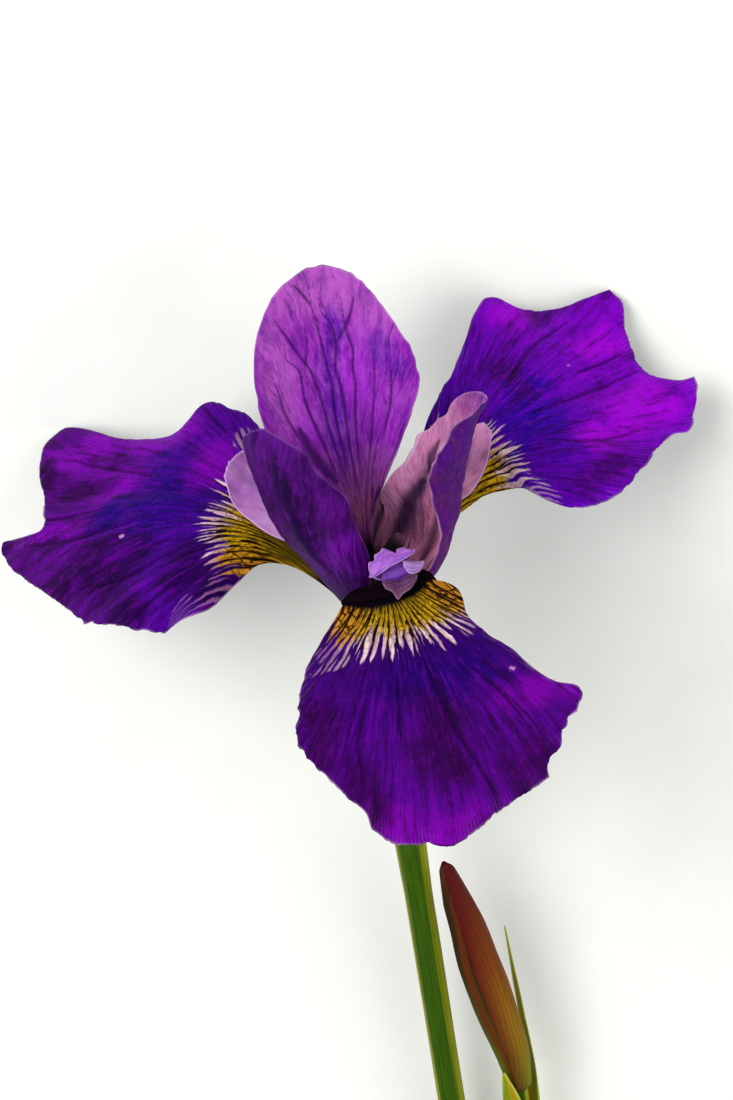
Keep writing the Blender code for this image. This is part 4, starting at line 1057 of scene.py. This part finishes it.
pollen = pollenSkin()
for key, azimuth in (("front", 11), ("left", -119), ("right", 125)):
    outward = np.array([sin(radians(azimuth)), -cos(radians(azimuth)), 0])
    up = np.array([0, 0, 1.0])
    for part, line, width, skin, slotName, lobes in (
            ("filament", [(2.2, 0.5), (3.2, 4.2), (5.1, 7.3), (7.2, 9.3)], [(0, 0.38), (1, 0.36)], lilac[key],
             "style_lilac", 0.0),
            ("anther", [(7.6, 9.7), (9.8, 10.9), (12.4, 12.1)],
             [(0, 0.35), (0.2, 0.6), (0.4, 0.65), (0.6, 0.65), (0.8, 0.6), (1, 0.3)], pollen,
             "anther_cream", 0.16)):
        centres = [outward * a + up * b for a, b in smoothCurve(line, np.linspace(0, 1, 36))]
        growTube(part + "_fine_" + key, centres, ribbed(width, 2, -lobes), skin,
                 [part + "_" + key], 24)
print("stem, ovary and stamens grown")

# sheath leaves, bud and bracts
leafGrid = {"columns": 44, "rows": 90, "thickness": 0.34}


def sheathSkin(name, look):
    # Iris sheath leaf: a stiff green leaf that dries from its tip, with close parallel veins and a
    # thin papery margin, so it's satin green that turns to matt olive and red brown
    skin, add, fan, flat = newSkin(name, "fan", "flat")
    around, share, edge = flat
    lengthwise = add("join", fan[0], add("multiply", fan[1], 0.08), look["seed"])
    streak = add("noise", lengthwise, 1.3, 4.0, 0.6)
    base = add("ramp", add("multiply_add", streak, 0.3, add("subtract", share, 0.15)), stops=look["tones"])
    band, at, wide = look["band"]
    off = add("multiply_add", streak, wide * 1.2, add("absolute", add("subtract", around, at)))
    ribs = add("cosine", add("multiply", fan[0], 2 * pi))
    rim = add("soften", edge, 0.1, look.get("rimWide", 0.6), 0.8, 0.0)
    colour = layTints(add, base, [(add("soften", off, wide, wide * 2, 0.85, 0.0), band),
                                  (add("map", ribs, 0.2, 1.0, 0.0, 0.28), look["rib"]), (rim, look["rim"])])
    bump = add("bump", 0.6, 0.0001, add("multiply_add", ribs, 0.5, streak))
    rough = add("map", streak, 0.3, 0.7, 0.42, 0.6)
    return dress(skin, colour, rough, bump, gloss["leaf"])


def growSheath(name, centres, radii, wraps, facing, skin, node):
    # a leaf wrapped round a line, from its base to its tip; wraps are half-angles
    centres = np.asarray(centres, float)
    s = np.linspace(0, 1, len(centres))
    front, across = frames(centres)
    u = np.linspace(-1, 1, leafGrid["columns"] + 1)
    angle = facing + u[None, :] * np.asarray(wraps)[:, None]
    round_ = across[:, None] * np.sin(angle)[..., None] - front[:, None] * np.cos(angle)[..., None]
    travelled = travel(centres)
    wide = np.asarray(radii)[:, None] * np.asarray(wraps)[:, None]
    arc = u[None, :] * wide
    edge = np.minimum(wide - np.abs(arc), (travelled[-1] - travelled)[:, None])
    rib = 0.035 * np.cos(2 * pi * arc / 0.7)
    points = centres[:, None] + round_ * (np.asarray(radii)[:, None] + rib)[..., None]
    thickness = leafGrid["thickness"] * (0.4 + 0.6 * ease(edge, 0, 1.0))
    marks = {"flat": (arc, np.broadcast_to(s[:, None], arc.shape), edge),
             "fan": (arc / 0.7, np.broadcast_to(travelled[:, None], arc.shape), 0 * arc)}
    points, faces, marks = shell(points, thickness, marks)
    return meshPiece(name, points, faces, marks, skin, [node])


spatheTones = [(0.0, "#4c6a12"), (0.45, "#5f7a1c"), (0.75, "#7d7434"), (1.0, "#8d6a3c")]
spatheSkin = sheathSkin("irisSpathePaper", dict(seed=5.0, tones=spatheTones, band=("#4d6a14", 0.0, 0.8),
                                                 rib="#3d5410", rim="#b5a678"))
for name, tip, wrap, facing in (("outer", 11.0, 98, 0.0), ("inner", 15.0, 72, pi)):
    at = np.linspace(plant["spatheBase"], tip, leafGrid["rows"])
    s = np.linspace(0, 1, len(at))
    radii = np.interp(at, [11, 16, 22, 32, 42], [4.6, 4.5, 4.0, 3.4, 3.1])
    wraps = np.radians(wrap) * np.clip(1 - s**2.4, 0.04, 1)
    growSheath("spathe_leaf_" + name, [stemPoint(d)[0] for d in at], radii, wraps, facing, spatheSkin,
               "spathe_" + name)

stalkLine = [(2.2, 114.5, 0.8), (4.8, 110, 1.2), (7.6, 103, 1.8), (9.2, 95, 2), (9.5, 88, 2)]
growTube("bud_stalk_fine", [besideStem(*p) for p in smoothCurve(stalkLine, np.linspace(0, 1, 70))],
         ribbed([(0, 1.3), (0.7, 1.3), (1, 1.35)], 10, 0.015), stemGreen, ["bud_stalk"], 48)
budLine = [(9.5, 87.6, 2), (9.0, 81, 2), (7.9, 75, 2), (7.1, 70, 2), (6.2, 64.8, 2), (5.6, 59.5, 2),
           (4.9, 55, 2), (4.3, 50.5, 2), (3.8, 46.9, 2)]
budWide = [0.45, 1.4, 1.75, 2.05, 2.1, 1.8, 1.35, 0.8, 0.3]
budSkin = stemSkin("irisBudPetal", dict(dark="#1c0628", mid="#34104a", litFlank="#401a2c", blotch="#4a1626"))


def budWidths(more, ends):
    # the bud's widths at twelfths of its length, with this much more round it, and the last ones given
    return np.r_[(np.interp(np.linspace(0, 1, 12), np.linspace(0, 1, 9), budWide) + more)[:9], ends]


def furled(angle, s):
    # petals rolled round each other, so the section is a slow spiral with three laps
    r = np.interp(s * 9 / 11, np.linspace(0, 1, 9), budWide)
    return r * (1 + 0.05 * np.cos(3 * angle + 5 * s) + 0.015 * np.cos(9 * angle + 15 * s))


growTube("bud_furled_petals", [besideStem(*p) for p in smoothCurve(budLine, np.linspace(0, 9 / 11, 120))],
         furled, budSkin, ["bud"], 72)
valveLooks = {
    "left": dict(
        seed=7.0, tones=[(0.0, "#5b6108"), (0.3, "#403e08"), (0.6, "#281c06"), (0.85, "#301c0a"),
                         (1.0, "#54281a")],
        band=("#5c240a", 2.6, 0.7), rib="#3a3208", rim="#140805"),
    # its near black rim is painted shadow in the gap beside the other valve
    "right": dict(
        seed=9.0, tones=[(0.0, "#70760a"), (0.25, "#86620a"), (0.55, "#743a08"), (0.8, "#5c1e0c"),
                         (1.0, "#562018")],
        band=("#8a6a0c", 1.5, 0.8), rib="#4c2206", rim="#4a030d", rimWide=3.2),
}
for key, more, ends, wrap, facing in (("left", 0.8, [1.95, 1.3, 0.6], 96, -pi / 2),
                                      ("right", 1.45, [2.35, 1.65, 0.9], 102, pi / 2)):
    top = (8 + len(ends)) / 11
    s = np.linspace(0, top, leafGrid["rows"])
    radii = np.interp(s, np.linspace(0, 1, 12)[:9 + len(ends)], budWidths(more, ends))
    radii = radii * np.interp(s, [0, top - 0.035, top], [1, 1, 0.3])
    growSheath("bud_valve_" + key, [besideStem(*p) for p in smoothCurve(budLine, s)], radii,
               np.radians(wrap) + 0 * s, facing, sheathSkin("irisBudSheath_" + key, valveLooks[key]),
               "bud_spathe_" + key)
bractSkin = sheathSkin("irisBractGreen", dict(
    seed=13.0, tones=[(0.0, "#3e5a08"), (0.4, "#6d7a08"), (0.7, "#7a880a"), (1.0, "#74860a")],
    band=("#a07a10", 0.6, 0.5), rib="#5d6a0c", rim="#a9b040"))
# each bract's rows, the line it follows, its radii and half-angles along it, and the way it faces
bracts = {
    "long": (leafGrid["rows"], [(3.4, 112.6, 1.0), (5.8, 107.5, 1.5), (8.4, 99.5, 1.8), (10.2, 91, 0.8),
                                (10.9, 84, -0.2), (11.2, 77, -0.8), (11.1, 70, -1), (10.9, 61.5, -1)],
             ([0, 0.4, 0.55, 0.7, 1], [1.9, 2.2, 1.8, 1.1, 0.9]),
             ([0, 0.3, 0.5, 0.8, 1], [95, 80, 48, 34, 8]), pi / 2 + 0.7),
    "short": (50, [(2.9, 113.4, 3.2), (4.6, 108.6, 3.0), (7.0, 101, 2.4), (8.8, 93.5, 2.2), (9.3, 87.6, 2),
                   (9.1, 83.5, 2)],
              ([0, 0.4, 0.7, 1], [2.2, 2.3, 2.5, 2.9]), ([0, 0.5, 0.8, 1], [58, 66, 44, 5]), -0.6),
}
for key, (rows, line, radii, wraps, facing) in bracts.items():
    at = np.linspace(0, 1, rows)
    growSheath("bract_blade_" + key, [besideStem(*p) for p in smoothCurve(line, at)], np.interp(at, *radii),
               np.radians(np.interp(at, *wraps)), facing, bractSkin, "bud_bract_" + key)
print("sheaths, bud and bracts grown")

# floor, light and camera
studio = {"floorSize": 4.0, "sky": "#f2f4f7", "skyStrength": 0.62,
          "key": 9.0, "keyAt": (-0.45, 0.35, 0.95), "keySize": 0.7,
          "fill": 4.0, "fillAt": (0.6, -0.2, 0.8), "fillSize": 0.9, "lampsAim": (0, 0.03, 0.03),
          "board": ("#e2e3dc", "#eaebe5"), "boardRoughness": 0.85}
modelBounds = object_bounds()
floorMesh = bpy.data.meshes.new("studio_floor")
half = studio["floorSize"] / 2
low = min(cadBounds[0][2], modelBounds[0][2])
floorMesh.from_pydata([(-half, -half, low), (half, -half, low), (half, half, low), (-half, half, low)], [],
                      [(0, 1, 2, 3)])
floor = addToScene("studio_floor", floorMesh)


def floorSkin():
    # Matt painted board: pale, even and without gloss, so only soft shadows show on it
    skin, add = newSkin("paleStudioBoard")
    shader = skin.node_tree.nodes["Principled BSDF"]
    grain = add("noise", add("place"), 90.0, 3.0)
    colour = add("mix", grain, *studio["board"])
    skin.node_tree.links.new(colour, shader.inputs["Base Color"])
    shader.inputs["Roughness"].default_value = studio["boardRoughness"]
    return skin


floorMesh.materials.append(floorSkin())
world = bpy.data.worlds.new("studio")
world.use_nodes = True
background = world.node_tree.nodes["Background"].inputs
background["Color"].default_value = linear(studio["sky"])
background["Strength"].default_value = studio["skyStrength"]
bpy.context.scene.world = world
for key in ("key", "fill"):
    light = bpy.data.lights.new("studio_" + key, "AREA")
    light.shape = "DISK"
    light.energy = studio[key]
    light.size = studio[key + "Size"]
    lamp = addToScene("studio_" + key, light)
    lamp.location = studio[key + "At"]
    lamp.rotation_euler = (Vector(studio["lampsAim"]) - lamp.location).to_track_quat("-Z", "Y").to_euler()

# the camera looks at the flower 35 degrees above its front, rolled by 10 degrees
view = {"above": radians(35), "roll": radians(-10), "distance": 700.0, "height": 165.0, "aim": (-1.125, 9.3)}
toCamera = Vector((0, -cos(view["above"]), sin(view["above"])))
level, upright = Vector((1, 0, 0)), Vector((0, sin(view["above"]), cos(view["above"])))
right = level * cos(view["roll"]) + upright * sin(view["roll"])
up = upright * cos(view["roll"]) - level * sin(view["roll"])
aim = right * view["aim"][0] + up * view["aim"][1]
eye = aim + toCamera * view["distance"]
camera = bpy.data.cameras.new("camera")
camera.sensor_width = 36.0
camera.lens = camera.sensor_width * view["distance"] / view["height"]
camera.clip_start, camera.clip_end = 0.01, 20.0
cameraObject = addToScene("camera", camera)
placed = Matrix((right, up, toCamera)).transposed().to_4x4()
placed.translation = eye
placed = layDown @ placed
placed.translation = placed.translation * mm
cameraObject.matrix_world = placed
bpy.context.scene.camera = cameraObject
bpy.context.scene.view_settings.view_transform = "Standard"

print("scene ready")
